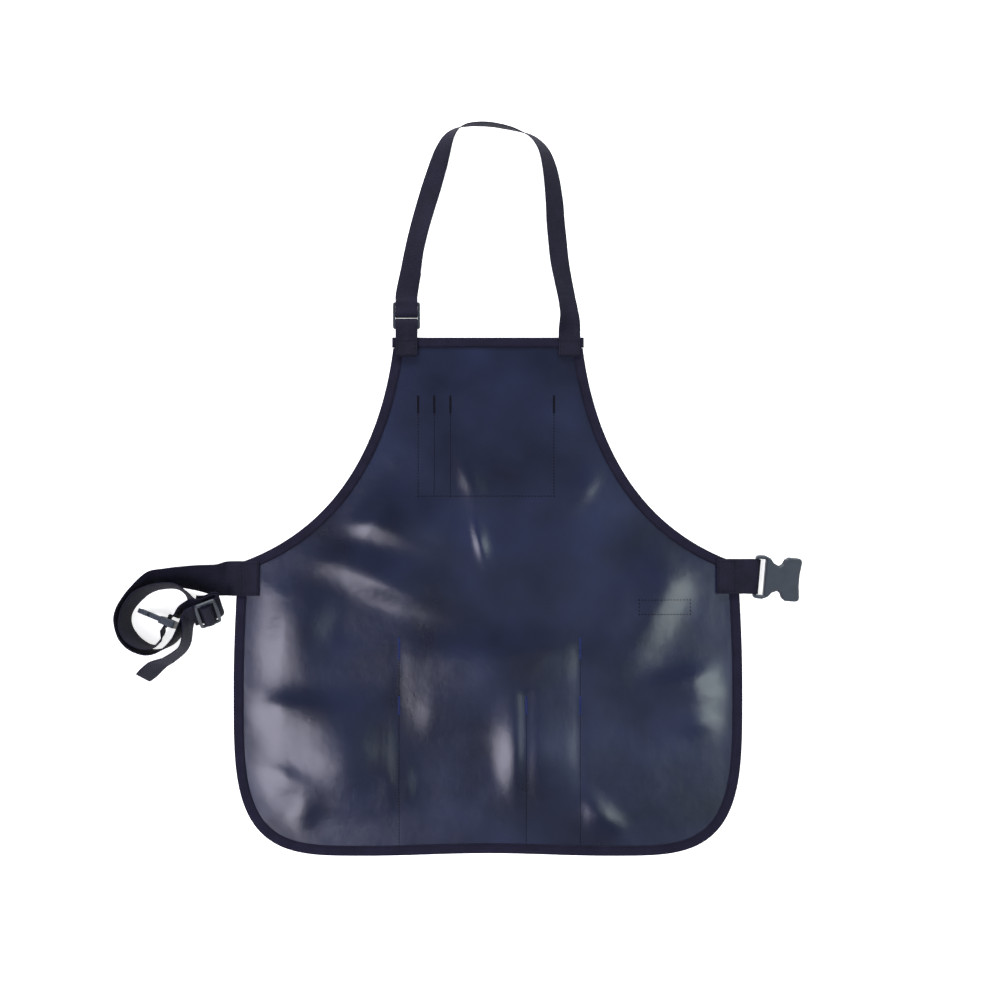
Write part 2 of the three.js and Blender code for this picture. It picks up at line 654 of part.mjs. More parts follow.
// Webbing is a flat ribbon. Each place holds its middle and the direction across its width.
function ribbon(places, width, pace) {
  const curve = new THREE.CatmullRomCurve3(places.map((p) => p.middle), false, 'centripetal');
  const last = places.length - 1;
  const rings = [];
  for (let i = 0; i < last; i += 1) {
    const span = places[i].middle.distanceTo(places[i + 1].middle);
    const count = Math.max(1, Math.round(span / pace));
    for (let k = 0; k < count + (i === last - 1 ? 1 : 0); k += 1) {
      const share = Math.min((i + k / count) / last, 1);
      const middle = curve.getPoint(share);
      const along = curve.getTangent(share);
      const across = places[i].across.clone().lerp(places[i + 1].across, k / count);
      across.addScaledVector(along, -across.dot(along)).normalize();
      const up = new THREE.Vector3().crossVectors(along, across).normalize();
      const corner = (w, h) => middle.clone()
        .addScaledVector(across, (w * width) / 2)
        .addScaledVector(up, (h * webbing_wall) / 2);
      rings.push([corner(-1, -1), corner(1, -1), corner(1, 1), corner(-1, 1)]);
    }
  }
  const section = [[-1, -1], [1, -1], [1, 1], [-1, 1]].map(([x, y]) => new THREE.Vector2(x, y));
  return sweepRings(rings, section);
}

// The width's direction: its raised edge points to a heading, leaning up from flat.
function leaning(heading, lean) {
  return new THREE.Vector3(
    Math.cos(rad(heading)) * Math.cos(rad(lean)),
    Math.sin(rad(heading)) * Math.cos(rad(lean)),
    Math.sin(rad(lean)),
  );
}

const flat_tape_top = panel_wall + clearance + tape_wall + clearance;
const bib_patch_level = bib_rest + flat_tape_top + webbing_wall / 2;
const waist_patch_level = skirt_rest + flat_tape_top + webbing_wall / 2;
const layer = webbing_wall + clearance;

// Turns of webbing round a bar, in the plane of its length and height.
function barTurn(bar_half) {
  return bar_half * Math.SQRT2 + clearance + webbing_wall / 2;
}

const lock_turn = barTurn(lock_bar / 2);
const lock_centre = new THREE.Vector3(
  neck_left.x * neck_loop_height,
  armhole_depth + neck_left.y * neck_loop_height,
  webbing_wall / 2 + clearance + lock_turn,
);
const lock_top_bar = lock_centre.y + 0.36 * lock_length;
const lock_foot_bar = lock_centre.y - 0.278 * lock_length;
const lock_end = lock_centre.y - 0.52 * lock_length;

// Half a turn of webbing round a bar that lies along X, from below it to above it.
function halfTurn(bar_y, way) {
  const shares = [[0, -1], [0.8, -0.6], [1, 0], [0.8, 0.6], [0, 1]];
  const across = new THREE.Vector3(1, 0, 0);
  return shares.map(([y, z]) => ({
    middle: new THREE.Vector3(lock_centre.x, bar_y + way * y * lock_turn, lock_centre.z + z * lock_turn),
    across,
  }));
}

function addNeckStrap() {
  const flat = new THREE.Vector3(1, 0, 0);
  const run = neck_run.map((row) => {
    const rise = (Math.sin(rad(row.lean)) * neck_webbing_width) / 2;
    const middle = new THREE.Vector3(row.x, row.y, 0).multiplyScalar(neck_loop_height);
    middle.y += armhole_depth;
    middle.z = rise + webbing_wall / 2 + clearance / 2 + row.lift * layer;
    return { middle, across: leaning(row.heading, row.lean) };
  });
  const over = lock_centre.z + lock_thickness / 2 + clearance + webbing_wall / 2;
  const top_bar = [-1, 1].map((side) => ({
    middle: new THREE.Vector3(lock_centre.x, lock_top_bar + side * (lock_bar / 2 + 0.5), over),
    across: flat,
  }));
  const below = { middle: new THREE.Vector3(lock_centre.x, lock_top_bar, webbing_wall / 2), across: flat };
  const tail_end = lock_centre.y + neck_tail_length;
  const back = run.filter((p) => p.middle.x < 0 && p.middle.y < tail_end).map((p) => {
    const up = new THREE.Vector3(0, 1, 0).cross(p.across).normalize();
    const drop = layer * -1.3 * Math.sign(up.z);
    return { middle: p.middle.clone().addScaledVector(up, drop), across: p.across };
  });
  back[0] = { middle: back[0].middle.setZ(webbing_wall / 2), across: flat };
  const end = [1, 0.2, -1].map((share) => ({
    middle: new THREE.Vector3(
      neck_right.x * neck_loop_height,
      armhole_depth + (share > 0 ? share * 8 : share * neck_patch),
      bib_patch_level,
    ),
    across: flat.clone().negate(),
  }));
  const places = [...back.reverse(), below, ...halfTurn(lock_centre.y, -1), ...top_bar, ...run, ...end];
  addMesh('neck_strap', ribbon(places, neck_webbing_width, 9), 'webbing');
}

function addNeckLoop() {
  const at = (y, z) => ({ middle: new THREE.Vector3(lock_centre.x, y, z), across: new THREE.Vector3(1, 0, 0) });
  const places = [
    at(armhole_depth - neck_patch * 0.8, bib_patch_level),
    at(armhole_depth - 3, bib_patch_level),
    at(armhole_depth + 0.8, bib_patch_level - 0.2),
    at(lock_end - 1, webbing_wall),
    ...halfTurn(lock_foot_bar, 1),
    at(lock_end - 1, lock_centre.z + lock_turn * 0.85),
    at(armhole_depth + 1, bib_patch_level + layer + 0.2),
    at(armhole_depth - 3, bib_patch_level + layer),
    at(armhole_depth - neck_patch, bib_patch_level + layer),
  ];
  addMesh('neck_buckle_loop', ribbon(places, neck_webbing_width, 9), 'webbing');
}

// A flat plate drawn on the ground plane with windows, its edges chamfered, centred on its middle.
function platedShape(outer, windows, thickness, chamfer) {
  outer.holes.push(...windows);
  const geometry = new THREE.ExtrudeGeometry(outer, {
    depth: thickness - 2 * chamfer,
    bevelEnabled: true,
    bevelThickness: chamfer,
    bevelSize: chamfer,
    bevelOffset: -chamfer,
    bevelSegments: 1,
    curveSegments: 3,
  });
  geometry.translate(0, 0, chamfer - thickness / 2);
  return geometry;
}

function roundedBox(Kind, low_x, low_y, high_x, high_y, r) {
  const box = new Kind();
  box.moveTo(low_x + r, low_y);
  box.lineTo(high_x - r, low_y);
  box.quadraticCurveTo(high_x, low_y, high_x, low_y + r);
  box.lineTo(high_x, high_y - r);
  box.quadraticCurveTo(high_x, high_y, high_x - r, high_y);
  box.lineTo(low_x + r, high_y);
  box.quadraticCurveTo(low_x, high_y, low_x, high_y - r);
  box.lineTo(low_x, low_y + r);
  box.quadraticCurveTo(low_x, low_y, low_x + r, low_y);
  return box;
}

function addLadderLock() {
  const half_slot = neck_webbing_width / 2 + clearance;
  const half = half_slot + lock_rim;
  const foot = lock_foot_bar - lock_centre.y;
  const top = lock_top_bar - lock_centre.y;
  const bar = lock_bar / 2;
  const outer = roundedBox(THREE.Shape, -half, lock_end - lock_centre.y, half, top + bar, 3);
  const windows = [
    roundedBox(THREE.Path, -half_slot, foot + bar, half_slot, -bar, 1),
    roundedBox(THREE.Path, -half_slot, bar, half_slot, top - bar, 1),
  ];
  const mesh = addMesh('ladder_lock', platedShape(outer, windows, lock_thickness, 0.5), 'plastic');
  mesh.position.copy(lock_centre);
}

// A frame whose X runs along the webbing, Y across it and Z out of its face.
function seatFrame(across, along_hint) {
  const width = across.clone().normalize();
  const along = along_hint.clone().addScaledVector(width, -along_hint.dot(width)).normalize();
  return new THREE.Matrix4().makeBasis(along, width, new THREE.Vector3().crossVectors(along, width));
}

function waistPoint(row, z) {
  return new THREE.Vector3(row.x * waist_turn_reach - half_waist, row.y * waist_turn_reach, z);
}

function waistPlace(row) {
  const z = (Math.sin(rad(row.lean)) / 2 + row.lift) * waist_webbing_width + webbing_wall / 2 + clearance / 2;
  return { middle: waistPoint(row, z), across: leaning(row.heading, row.lean) };
}

function sliderFrame() {
  const width = leaning(slider_seat.heading, slider_seat.lean);
  const level = leaning(slider_seat.heading - 90, 0);
  const along = level.clone().applyAxisAngle(width, rad(slider_seat.roll));
  const frame = seatFrame(width, along);
  return frame.setPosition(waistPoint(slider_seat, slider_seat.lift * waist_webbing_width));
}

function maleFrame() {
  const width = leaning(male_seat.heading, male_seat.lean);
  const frame = seatFrame(width, leaning(male_seat.point, 0));
  return frame.setPosition(waistPoint(male_seat, (Math.sin(rad(male_seat.lean)) * buckle_width) / 2 + 0.5));
}

const slider_frame = sliderFrame();
const male_frame = maleFrame();

function framed(frame, x, z) {
  const across = new THREE.Vector3().setFromMatrixColumn(frame, 1);
  return { middle: new THREE.Vector3(x, 0, z).applyMatrix4(frame), across };
}

function addWaistStrap() {
  const half_length = slider_length / 2;
  const level = slider_thickness / 2 + clearance + webbing_wall;
  const pass = (rows) => rows.map((p) => framed(slider_frame, p.along * half_length, p.above * level));
  const slot = slot_pass.map((p) => framed(male_frame, p.along * male_length, p.above * male_thickness));
  const flat = new THREE.Vector3(0, 1, 0);
  const start = [-waist_patch, -2, 4.5].map((out) => ({
    middle: new THREE.Vector3(-half_waist - out, -waist_strap_drop, waist_patch_level),
    across: flat,
  }));
  const places = [
    ...start,
    ...outer_turn.map(waistPlace),
    ...pass(first_pass),
    ...arch.map(waistPlace),
    ...slot,
    ...inner_turn.map(waistPlace),
    ...pass(second_pass),
    ...tail.map(waistPlace),
  ];
  addMesh('waist_strap', ribbon(places, waist_webbing_width, 7), 'webbing');
}

function addSlider() {
  const half_slot = waist_webbing_width / 2 + clearance * 2;
  const half = half_slot + slider_rim;
  const out = slider_length / 2;
  const bar = slider_bar / 2;
  const end = out - slider_bar - 0.5;
  const outer = new THREE.Shape();
  outer.moveTo(-end, -half);
  outer.lineTo(end, -half);
  outer.quadraticCurveTo(out - 0.5, -half, out - 0.5, -half * 0.8);
  outer.quadraticCurveTo(out + 1, 0, out - 0.5, half * 0.8);
  outer.quadraticCurveTo(out - 0.5, half, end, half);
  outer.lineTo(-end, half);
  outer.quadraticCurveTo(-out + 0.5, half, -out + 0.5, half * 0.8);
  outer.quadraticCurveTo(-out - 1, 0, -out + 0.5, -half * 0.8);
  outer.quadraticCurveTo(-out + 0.5, -half, -end, -half);
  const inner = out - slider_bar;
  const windows = [
    roundedBox(THREE.Path, -inner, -half_slot, -bar * 0.8, half_slot, 0.8),
    roundedBox(THREE.Path, bar * 0.8, -half_slot, inner, half_slot, 0.8),
  ];
  const mesh = addMesh('slider', platedShape(outer, windows, slider_thickness, 0.5), 'plastic');
  mesh.applyMatrix4(slider_frame);
}

// The pronged half: a base with the webbing's slot, two sprung arms and a guide between them.
function addMaleBuckle() {
  const half = buckle_width / 2;
  const base_end = male_length * 0.4;
  const slot = [male_length * 0.12, male_length * 0.32];
  const half_slot = waist_webbing_width / 2 + clearance * 2;
  const base = platedShape(
    roundedBox(THREE.Shape, 0, -half, base_end, half, 3),
    [roundedBox(THREE.Path, slot[0], -half_slot, slot[1], half_slot, 1)],
    male_thickness,
    0.8,
  );
  let solid = toManifold(base);
  const arm = socketSizes();
  const root_x = base_end - 2;
  for (const side of [-1, 1]) {
    const prong = new THREE.Shape();
    prong.moveTo(root_x, side * (arm.half_width - 9));
    prong.lineTo(root_x, side * (arm.half_width - 2));
    const bend = (x, inset, to_x, to_inset) => prong.quadraticCurveTo(
      male_length * x,
      side * (arm.half_width - inset),
      to_x,
      side * (arm.half_width - to_inset),
    );
    bend(0.6, 4.5, male_length * 0.68, 4);
    prong.lineTo(male_length * 0.72, side * arm.half_width);
    bend(0.95, 0, male_length * 0.98, 6);
    prong.lineTo(male_length * 0.82, side * (arm.half_width - 8));
    bend(0.6, 10, root_x, 9);
    solid = solid.add(toManifold(platedShape(prong, [], arm.height - 1, 0.4)));
  }
  const guide = roundedBox(THREE.Shape, root_x, -4, male_length * 0.88, 4, 2);
  solid = solid.add(toManifold(platedShape(guide, [], arm.height - 1, 0.4)));
  const mesh = addMesh('male_buckle', fromManifold(solid), 'plastic');
  mesh.applyMatrix4(male_frame);
}

// The socket in the female half, which the arms of the male half go into.
function socketSizes() {
  return { half_width: buckle_width / 2 - female_wall - 0.8, height: female_thickness - 2 * female_wall - 1.4 };
}

const female_seat = new THREE.Vector3(
  half_waist + female_reach,
  -waist_loop_drop,
  female_thickness / 2,
);

// The socket half, drawn from its bar to its mouth, with a waisted middle and open sides.
function addFemaleBuckle() {
  const half = buckle_width / 2;
  const length = female_length;
  const waisted = half * 0.56;
  const outer = new THREE.Shape();
  outer.moveTo(0, -half * 0.8);
  outer.quadraticCurveTo(0, -half, length * 0.1, -half);
  outer.lineTo(length * 0.2, -half);
  outer.bezierCurveTo(length * 0.36, -half, length * 0.36, -waisted, length * 0.52, -waisted);
  outer.bezierCurveTo(length * 0.62, -waisted, length * 0.6, -half, length * 0.7, -half);
  outer.lineTo(length * 0.9, -half);
  outer.quadraticCurveTo(length, -half, length, -half * 0.8);
  outer.quadraticCurveTo(length * 0.93, 0, length, half * 0.8);
  outer.quadraticCurveTo(length, half, length * 0.9, half);
  outer.lineTo(length * 0.7, half);
  outer.bezierCurveTo(length * 0.6, half, length * 0.62, waisted, length * 0.52, waisted);
  outer.bezierCurveTo(length * 0.36, waisted, length * 0.36, half, length * 0.2, half);
  outer.lineTo(length * 0.1, half);
  outer.quadraticCurveTo(0, half, 0, half * 0.8);
  const half_slot = waist_webbing_width / 2 + clearance * 2;
  const slot = roundedBox(THREE.Path, female_bar, -half_slot, female_bar + female_slot, half_slot, 1);
  let solid = toManifold(platedShape(outer, [slot], female_thickness, 1.6));
  const socket = socketSizes();
  const depth = length - female_bar - female_slot - 4;
  const hollow = new THREE.BoxGeometry(depth + 4, socket.half_width * 2, socket.height);
  hollow.translate(length + 4 - (depth + 4) / 2, 0, 0);
  solid = solid.subtract(toManifold(hollow));
  const recess_end = female_bar + female_slot;
  for (const side of [-1, 1]) {
    const recess = new THREE.BoxGeometry(recess_end + 2, half_slot * 2, female_thickness);
    recess.translate(recess_end / 2 - 1, 0, (side * (female_thickness + female_bar)) / 2);
    solid = solid.subtract(toManifold(recess));
  }
  const mesh = addMesh('female_buckle', fromManifold(solid), 'plastic');
  mesh.position.copy(female_seat);
  mesh.rotation.z = rad(female_turn);
}

function addWaistLoop() {
  const turn = barTurn(female_bar / 2);
  const axis = new THREE.Vector3(0, 0, 1);
  const flat = new THREE.Vector3(0, 1, 0);
  const end_way = flat.clone().applyAxisAngle(axis, rad(female_turn));
  const along = new THREE.Vector3(1, 0, 0).applyAxisAngle(axis, rad(female_turn));
  const bar = female_seat.clone().addScaledVector(along, female_bar / 2);
  const round = [[0, 1], [0.8, 0.6], [1, 0], [0.8, -0.6], [0, -1]].map(([x, z]) => ({
    middle: bar.clone().addScaledVector(along, x * turn).add(new THREE.Vector3(0, 0, z * turn)),
    across: end_way,
  }));
  const on_panel = (x, z) => ({ middle: new THREE.Vector3(x, -waist_loop_drop, z), across: flat });
  const places = [
    on_panel(half_waist - waist_patch, waist_patch_level + layer),
    on_panel(half_waist - 4, waist_patch_level + layer),
    on_panel(half_waist + 2, waist_patch_level + layer),
    ...round,
    on_panel(half_waist + 3, waist_patch_level - 0.3),
    on_panel(half_waist - 4, waist_patch_level),
    on_panel(half_waist - waist_patch * 0.85, waist_patch_level),
  ];
  addMesh('waist_buckle_loop', ribbon(places, waist_webbing_width, 8), 'webbing');
}

addPanel();
addBindings();
addPockets();
addNeckStrap();
addNeckLoop();
addLadderLock();
addWaistStrap();
addSlider();
addMaleBuckle();
addWaistLoop();
addFemaleBuckle();

// The origin is the middle of the ground that the apron lies on.
root.updateMatrixWorld(true);
const extent = new THREE.Box3().setFromObject(root, true);
root.position.set(-(extent.min.x + extent.max.x) / 2, -(extent.min.y + extent.max.y) / 2, -extent.min.z);

export default root;
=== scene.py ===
"""Visual model of a gardening apron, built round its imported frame.

Lengths inside the classes are millimetres from the waist's middle, and each mesh is placed in
the frame's metres when it is made.
"""

import logging
import math
from dataclasses import dataclass
from enum import Enum

import bpy
import numpy as np
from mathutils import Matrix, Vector


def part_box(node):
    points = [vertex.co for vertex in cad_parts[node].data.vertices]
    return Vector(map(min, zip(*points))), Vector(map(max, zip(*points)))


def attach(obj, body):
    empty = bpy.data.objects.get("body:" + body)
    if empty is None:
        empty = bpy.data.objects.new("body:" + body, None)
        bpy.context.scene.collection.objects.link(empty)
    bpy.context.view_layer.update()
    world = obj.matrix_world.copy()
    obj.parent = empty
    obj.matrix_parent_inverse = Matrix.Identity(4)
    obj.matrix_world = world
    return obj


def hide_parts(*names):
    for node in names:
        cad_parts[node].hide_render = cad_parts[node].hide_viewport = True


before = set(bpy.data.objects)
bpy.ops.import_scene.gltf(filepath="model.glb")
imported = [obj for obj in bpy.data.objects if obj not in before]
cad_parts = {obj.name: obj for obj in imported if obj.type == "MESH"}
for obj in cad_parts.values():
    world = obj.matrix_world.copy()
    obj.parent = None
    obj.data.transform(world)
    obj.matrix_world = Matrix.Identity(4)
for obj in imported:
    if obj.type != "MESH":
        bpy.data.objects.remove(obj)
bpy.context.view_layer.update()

log = logging.getLogger("apron")
MM = 0.001


@dataclass(frozen=True)
class ApronSizes:
    """Sizes of the sewn body, in millimetres."""

    body_width: float = 584.0
    body_length: float = 595.0
    waist_width: float = 573.0
    bib_width: float = 215.0
    armhole_depth: float = 259.0
    corner_reach: float = 152.0
    corner_rise: float = 192.0
    corner_power: float = 3.7
    hem_wave: float = 3.0
    wall: float = 1.0
    tape_width: float = 11.5
    tape_wall: float = 1.0
    tape_overhang: float = 2.5
    bib_pocket_width: float = 162.0
    bib_pocket_height: float = 121.0
    bib_pocket_drop: float = 64.0
    bib_pocket_shift: float = -2.2
    tall_pocket_width: float = 214.0
    tall_pocket_height: float = 236.0
    tall_pocket_shift: float = 2.0
    lower_pocket_height: float = 183.0
    pen_slot_width: float = 18.5
    pocket_divider_offset: float = 42.0
    seam_margin: float = 3.0
    gap: float = 0.3
    fold_height: float = 10.0
    seam_pull: float = 0.25
    seam_reach: float = 9.0
    edge_flat: float = 2.0
    edge_fade: float = 45.0
    rest_change: float = 60.0

    @property
    def half_body(self) -> float:
        """Half the body's width."""
        return self.body_width / 2

    @property
    def half_waist(self) -> float:
        """Half the waist's width."""
        return self.waist_width / 2

    @property
    def half_bib(self) -> float:
        """Half the bib's width at the top."""
        return self.bib_width / 2

    @property
    def hem_level(self) -> float:
        """The hem's place below the waist."""
        return self.armhole_depth - self.body_length

    @property
    def bib_rest(self) -> float:
        """Height of the bib's underside on its tape."""
        return self.tape_wall + self.gap

    @property
    def skirt_rest(self) -> float:
        """Height of the skirt's underside on its tape and pocket."""
        return self.bib_rest + self.wall + self.gap


SIZES = ApronSizes()


@dataclass(frozen=True)
class StrapSizes:
    """Sizes of the webbing and its hardware, in millimetres."""

    neck_width: float = 25.0
    waist_width: float = 40.0
    wall: float = 1.2
    neck_loop: float = 246.0
    neck_tail: float = 64.0
    neck_patch: float = 22.0
    waist_patch: float = 24.0
    waist_reach: float = 140.0
    waist_drop: float = 17.5
    loop_drop: float = 15.0
    lock_length: float = 33.0
    lock_thickness: float = 4.0
    lock_bar: float = 4.0
    slider_length: float = 26.0
    slider_thickness: float = 3.0
    male_length: float = 45.0
    male_thickness: float = 8.4
    buckle_width: float = 50.0
    female_thickness: float = 12.0
    female_turn: float = -5.0
    female_bar: float = 4.0
    female_reach: float = 18.5


STRAPS = StrapSizes()


@dataclass(frozen=True)
class LockShape:
    """The ladder lock's seat and bars.

    Args:
        side, rise: its middle, as shares of the neck loop's height.
        top_bar, foot_bar, end: how far its bars and its foot's end lie from the middle, as shares
            of its length.
        clear: how far beyond its top bar the strap's two places over that bar lie, in
            millimetres.
    """

    side: float = 0.380
    rise: float = 0.108
    top_bar: float = 0.36
    foot_bar: float = 0.278
    end: float = 0.52
    clear: float = 0.5


LOCK = LockShape()


@dataclass(frozen=True)
class PocketShape:
    """A patch pocket's turned edges and hemmed mouth, in millimetres.

    Args:
        turned, hem: widths of the doubled cloth at the edges and at the mouth.
        step: how far the single cloth's outer face stands in.
        rim, rim_fall: how far the rim rounds off, and how fast that fades inwards.
        edge_lines, hem_lines: distances of the grid's close lines from an edge and from the mouth.
        edge_inside, hem_inside: where the even lines begin.
    """

    turned: float = 6.5
    hem: float = 20.5
    step: float = 0.28
    rim: float = 0.3
    rim_fall: float = 2.0
    edge_lines: tuple[float, ...] = (0, 0.4, 1, 6, 7)
    hem_lines: tuple[float, ...] = (0, 0.4, 1, 20, 21)
    edge_inside: float = 10.0
    hem_inside: float = 24.0

    def relief(self, doubled: np.ndarray, edge: np.ndarray) -> np.ndarray:
        """How far the outer face stands in, from where it is doubled and the distance to its edge."""
        return np.where(doubled, 0.0, self.step) + self.rim * np.exp(-edge * self.rim_fall)


POCKET = PocketShape()


@dataclass(frozen=True)
class Detail:
    """How finely the meshes are cut, as counts of points or as steps in millimetres.

    Args:
        panel_corner_height, panel_corner_gap: up to where the cloth's rows follow the corner's
            points, and how far above these its even rows begin.
        row_step, ring_step: the least rise between such rows, and the least step between the
            tape's rings round the corner.
    """

    outline_corner: int = 90
    outline_side: int = 40
    outline_armhole: int = 100
    panel_corner: int = 61
    panel_corner_height: float = 60.0
    panel_corner_gap: float = 2.9
    panel_rows: int = 181
    panel_columns: int = 196
    armhole_tape: int = 400
    armhole_tape_stride: int = 3
    corner_tape: int = 90
    side_tape: int = 60
    hem_tape: int = 110
    bib_tape: int = 90
    bib_stitches: int = 60
    pocket_columns: int = 40
    pocket_rows: int = 30
    hem_pocket_corner: int = 60
    hem_pocket_columns: int = 90
    row_step: float = 0.02
    ring_step: float = 0.6
    seam_step: float = 3.0
    webbing_pace: float = 2.4


DETAIL = Detail()


@dataclass(frozen=True)
class Fold:
    """A ridge or hollow of the cloth.

    Args:
        x, y: middle, as shares of half the width and of the length from the hem.
        turn: heading of the ridge in degrees.
        long: reach along the ridge, near and far the two flanks' reaches, as shares of half
            the width.
        high: height as a share of the fold height.
    """

    x: float
    y: float
    turn: float
    long: float
    near: float
    far: float
    high: float


FOLDS = (
    Fold(-0.740, 0.440, 80, 0.210, 0.150, 0.140, 0.75),
    Fold(-0.570, 0.195, 90, 0.200, 0.230, 0.180, 1.05),
    Fold(-0.808, 0.286, -2, 0.230, 0.060, 0.090, 0.50),
    Fold(-0.808, 0.151, -22, 0.110, 0.047, 0.079, 0.30),
    Fold(-0.729, 0.072, 80, 0.095, 0.047, 0.055, 0.30),
    Fold(-0.205, 0.272, 88, 0.120, 0.085, 0.230, 0.35),
    Fold(-0.350, 0.140, 8, 0.079, 0.075, 0.100, 0.30),
    Fold(0.120, 0.203, 88, 0.165, 0.075, 0.240, 0.65),
    Fold(0.461, 0.064, -48, 0.118, 0.051, 0.079, 0.50),
    Fold(0.883, 0.261, 5, 0.118, 0.039, 0.055, 0.28),
    Fold(0.922, 0.319, 12, 0.095, 0.035, 0.043, 0.22),
    Fold(0.658, 0.487, 63, 0.260, 0.118, 0.095, 0.60),
    Fold(-0.420, 0.640, -18, 0.240, 0.115, 0.070, 0.85),
    Fold(-0.410, 0.532, -22, 0.270, 0.105, 0.075, 0.80),
    Fold(-0.035, 0.609, -77, 0.075, 0.032, 0.020, 0.30),
    Fold(-0.067, 0.717, -72, 0.095, 0.055, 0.039, 0.25),
    Fold(-0.398, 0.771, -32, 0.059, 0.028, 0.024, 0.12),
    Fold(0.410, 0.721, 49, 0.118, 0.055, 0.039, 0.26),
    Fold(0.028, 0.377, 0, 0.347, 0.105, 0.180, 0.75),
    Fold(0.790, 0.335, 14, 0.190, 0.060, 0.160, 0.50),
    Fold(-0.158, 0.155, 86, 0.205, 0.150, 0.158, -0.30),
    Fold(0.796, 0.149, 70, 0.102, 0.087, 0.079, -0.26),
    Fold(-0.559, 0.446, 18, 0.126, 0.071, 0.071, -0.24),
)


def linked(name: str, data: bpy.types.ID) -> bpy.types.Object:
    """Makes an object from its data and links it to the scene."""
    made = bpy.data.objects.new(name, data)
    bpy.context.scene.collection.objects.link(made)
    return made


class MeshMaker:
    """Makes closed meshes in the frame's metres from grids and rings of points in millimetres."""

    def __init__(self) -> None:
        """Finds the waist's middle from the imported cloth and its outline."""
        low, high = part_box("apron_panel")
        inset = SIZES.tape_wall + SIZES.gap
        self.shift = np.array([
            (low[0] + high[0]) / 2,
            high[1] - (SIZES.armhole_depth - inset) * MM,
            0.0,
        ])

    def place(self, points: np.ndarray) -> np.ndarray:
        """Turns points in millimetres into the frame's metres."""
        return np.asarray(points, dtype=float) * MM + self.shift

    def build(
        self,
        name: str,
        points: np.ndarray,
        faces: list[tuple[int, ...]],
        uvs: np.ndarray | None = None,
        smooth: bool = True,
    ) -> bpy.types.Object:
        """Makes one object.

        Args:
            name: the object's name.
            points: N x 3 points in millimetres.
            faces: corner indices of each face.
            uvs: N x 2 values, one for each point, kept as the UV map "surface".
            smooth: whether the faces are shaded smooth.

        Returns:
            The new object, linked to the scene.
        """
        mesh = bpy.data.meshes.new(name)
        mesh.from_pydata(self.place(points).tolist(), [], faces)
        mesh.validate()
        if uvs is not None:
            layer = mesh.uv_layers.new(name="surface")
            index = np.empty(len(mesh.loops), dtype=np.int32)
            mesh.loops.foreach_get("vertex_index", index)
            layer.data.foreach_set("uv", np.asarray(uvs, dtype=np.float32)[index].ravel())
        mesh.polygons.foreach_set("use_smooth", [smooth] * len(mesh.polygons))
        mesh.update()
        return linked(name, mesh)

    def sheet(self, name: str, lower: np.ndarray, upper: np.ndarray) -> bpy.types.Object:
        """Closes two matching grids of points into one sheet.

        Args:
            name: the object's name.
            lower, upper: rows x columns x 3 points of the two sides.

        Returns:
            The new object, with its plan in millimetres as its UV map.
        """
        rows, columns = lower.shape[:2]
        half = rows * columns
        index = np.arange(half).reshape(rows, columns)
        a, b = index[:-1, :-1].ravel(), index[:-1, 1:].ravel()
        c, d = index[1:, 1:].ravel(), index[1:, :-1].ravel()
        faces = np.concatenate([
            np.stack([a, d, c, b], axis=1),
            np.stack([a, b, c, d], axis=1) + half,
        ]).tolist()
        rim = np.concatenate([
            index[0, :-1], index[:-1, -1], index[-1, :0:-1], index[:0:-1, 0],
        ])
        following = np.roll(rim, -1)
        faces += np.stack([rim, following, following + half, rim + half], axis=1).tolist()
        points = np.concatenate([lower.reshape(-1, 3), upper.reshape(-1, 3)])
        return self.build(name, points, [tuple(f) for f in faces], uvs=points[:, :2] * MM)

    def sweep(
        self,
        name: str,
        rings: np.ndarray,
        around: np.ndarray,
        along: np.ndarray,
    ) -> bpy.types.Object:
        """Joins rings into a closed body.

        Args:
            name: the object's name.
            rings: count x corners x 3 points.
            around: the section's own coordinate at each corner, in millimetres.
            along: the distance along the path at each ring, in millimetres.

        Returns:
            The new object, with (around, along) in metres as its UV map.
        """
        count, corners = rings.shape[:2]
        index = np.arange(count * corners).reshape(count, corners)
        a, b = index[:-1], np.roll(index, -1, axis=1)[:-1]
        c, d = np.roll(index, -1, axis=1)[1:], index[1:]
        quads = np.stack([a, b, c, d], axis=-1).reshape(-1, 4)
        points = rings.reshape(-1, 3)
        corner = points[quads[:, 0]]
        normal = np.cross(points[quads[:, 1]] - corner, points[quads[:, 3]] - corner)
        centre = rings.mean(axis=1)[:-1].repeat(corners, axis=0)
        outward = np.einsum("ij,ij->i", normal, corner - centre).sum() > 0
        faces = [tuple(q) if outward else tuple(q[::-1]) for q in quads.tolist()]
        first, last = index[0].tolist(), index[-1].tolist()
        faces.append(tuple(first[::-1]) if outward else tuple(first))
        faces.append(tuple(last) if outward else tuple(last[::-1]))
        uvs = np.stack(np.broadcast_arrays(around[None, :], along[:, None]), axis=-1)
        return self.build(name, points, faces, uvs=uvs.reshape(-1, 2) * MM)


# The armhole's inner control points, as shares of its reach sideways and of its depth down.
ARMHOLE_PULLS = ((0.047, 0.321), (0.238, 0.819))
MIRROR = np.array([-1, 1, -1, 1])


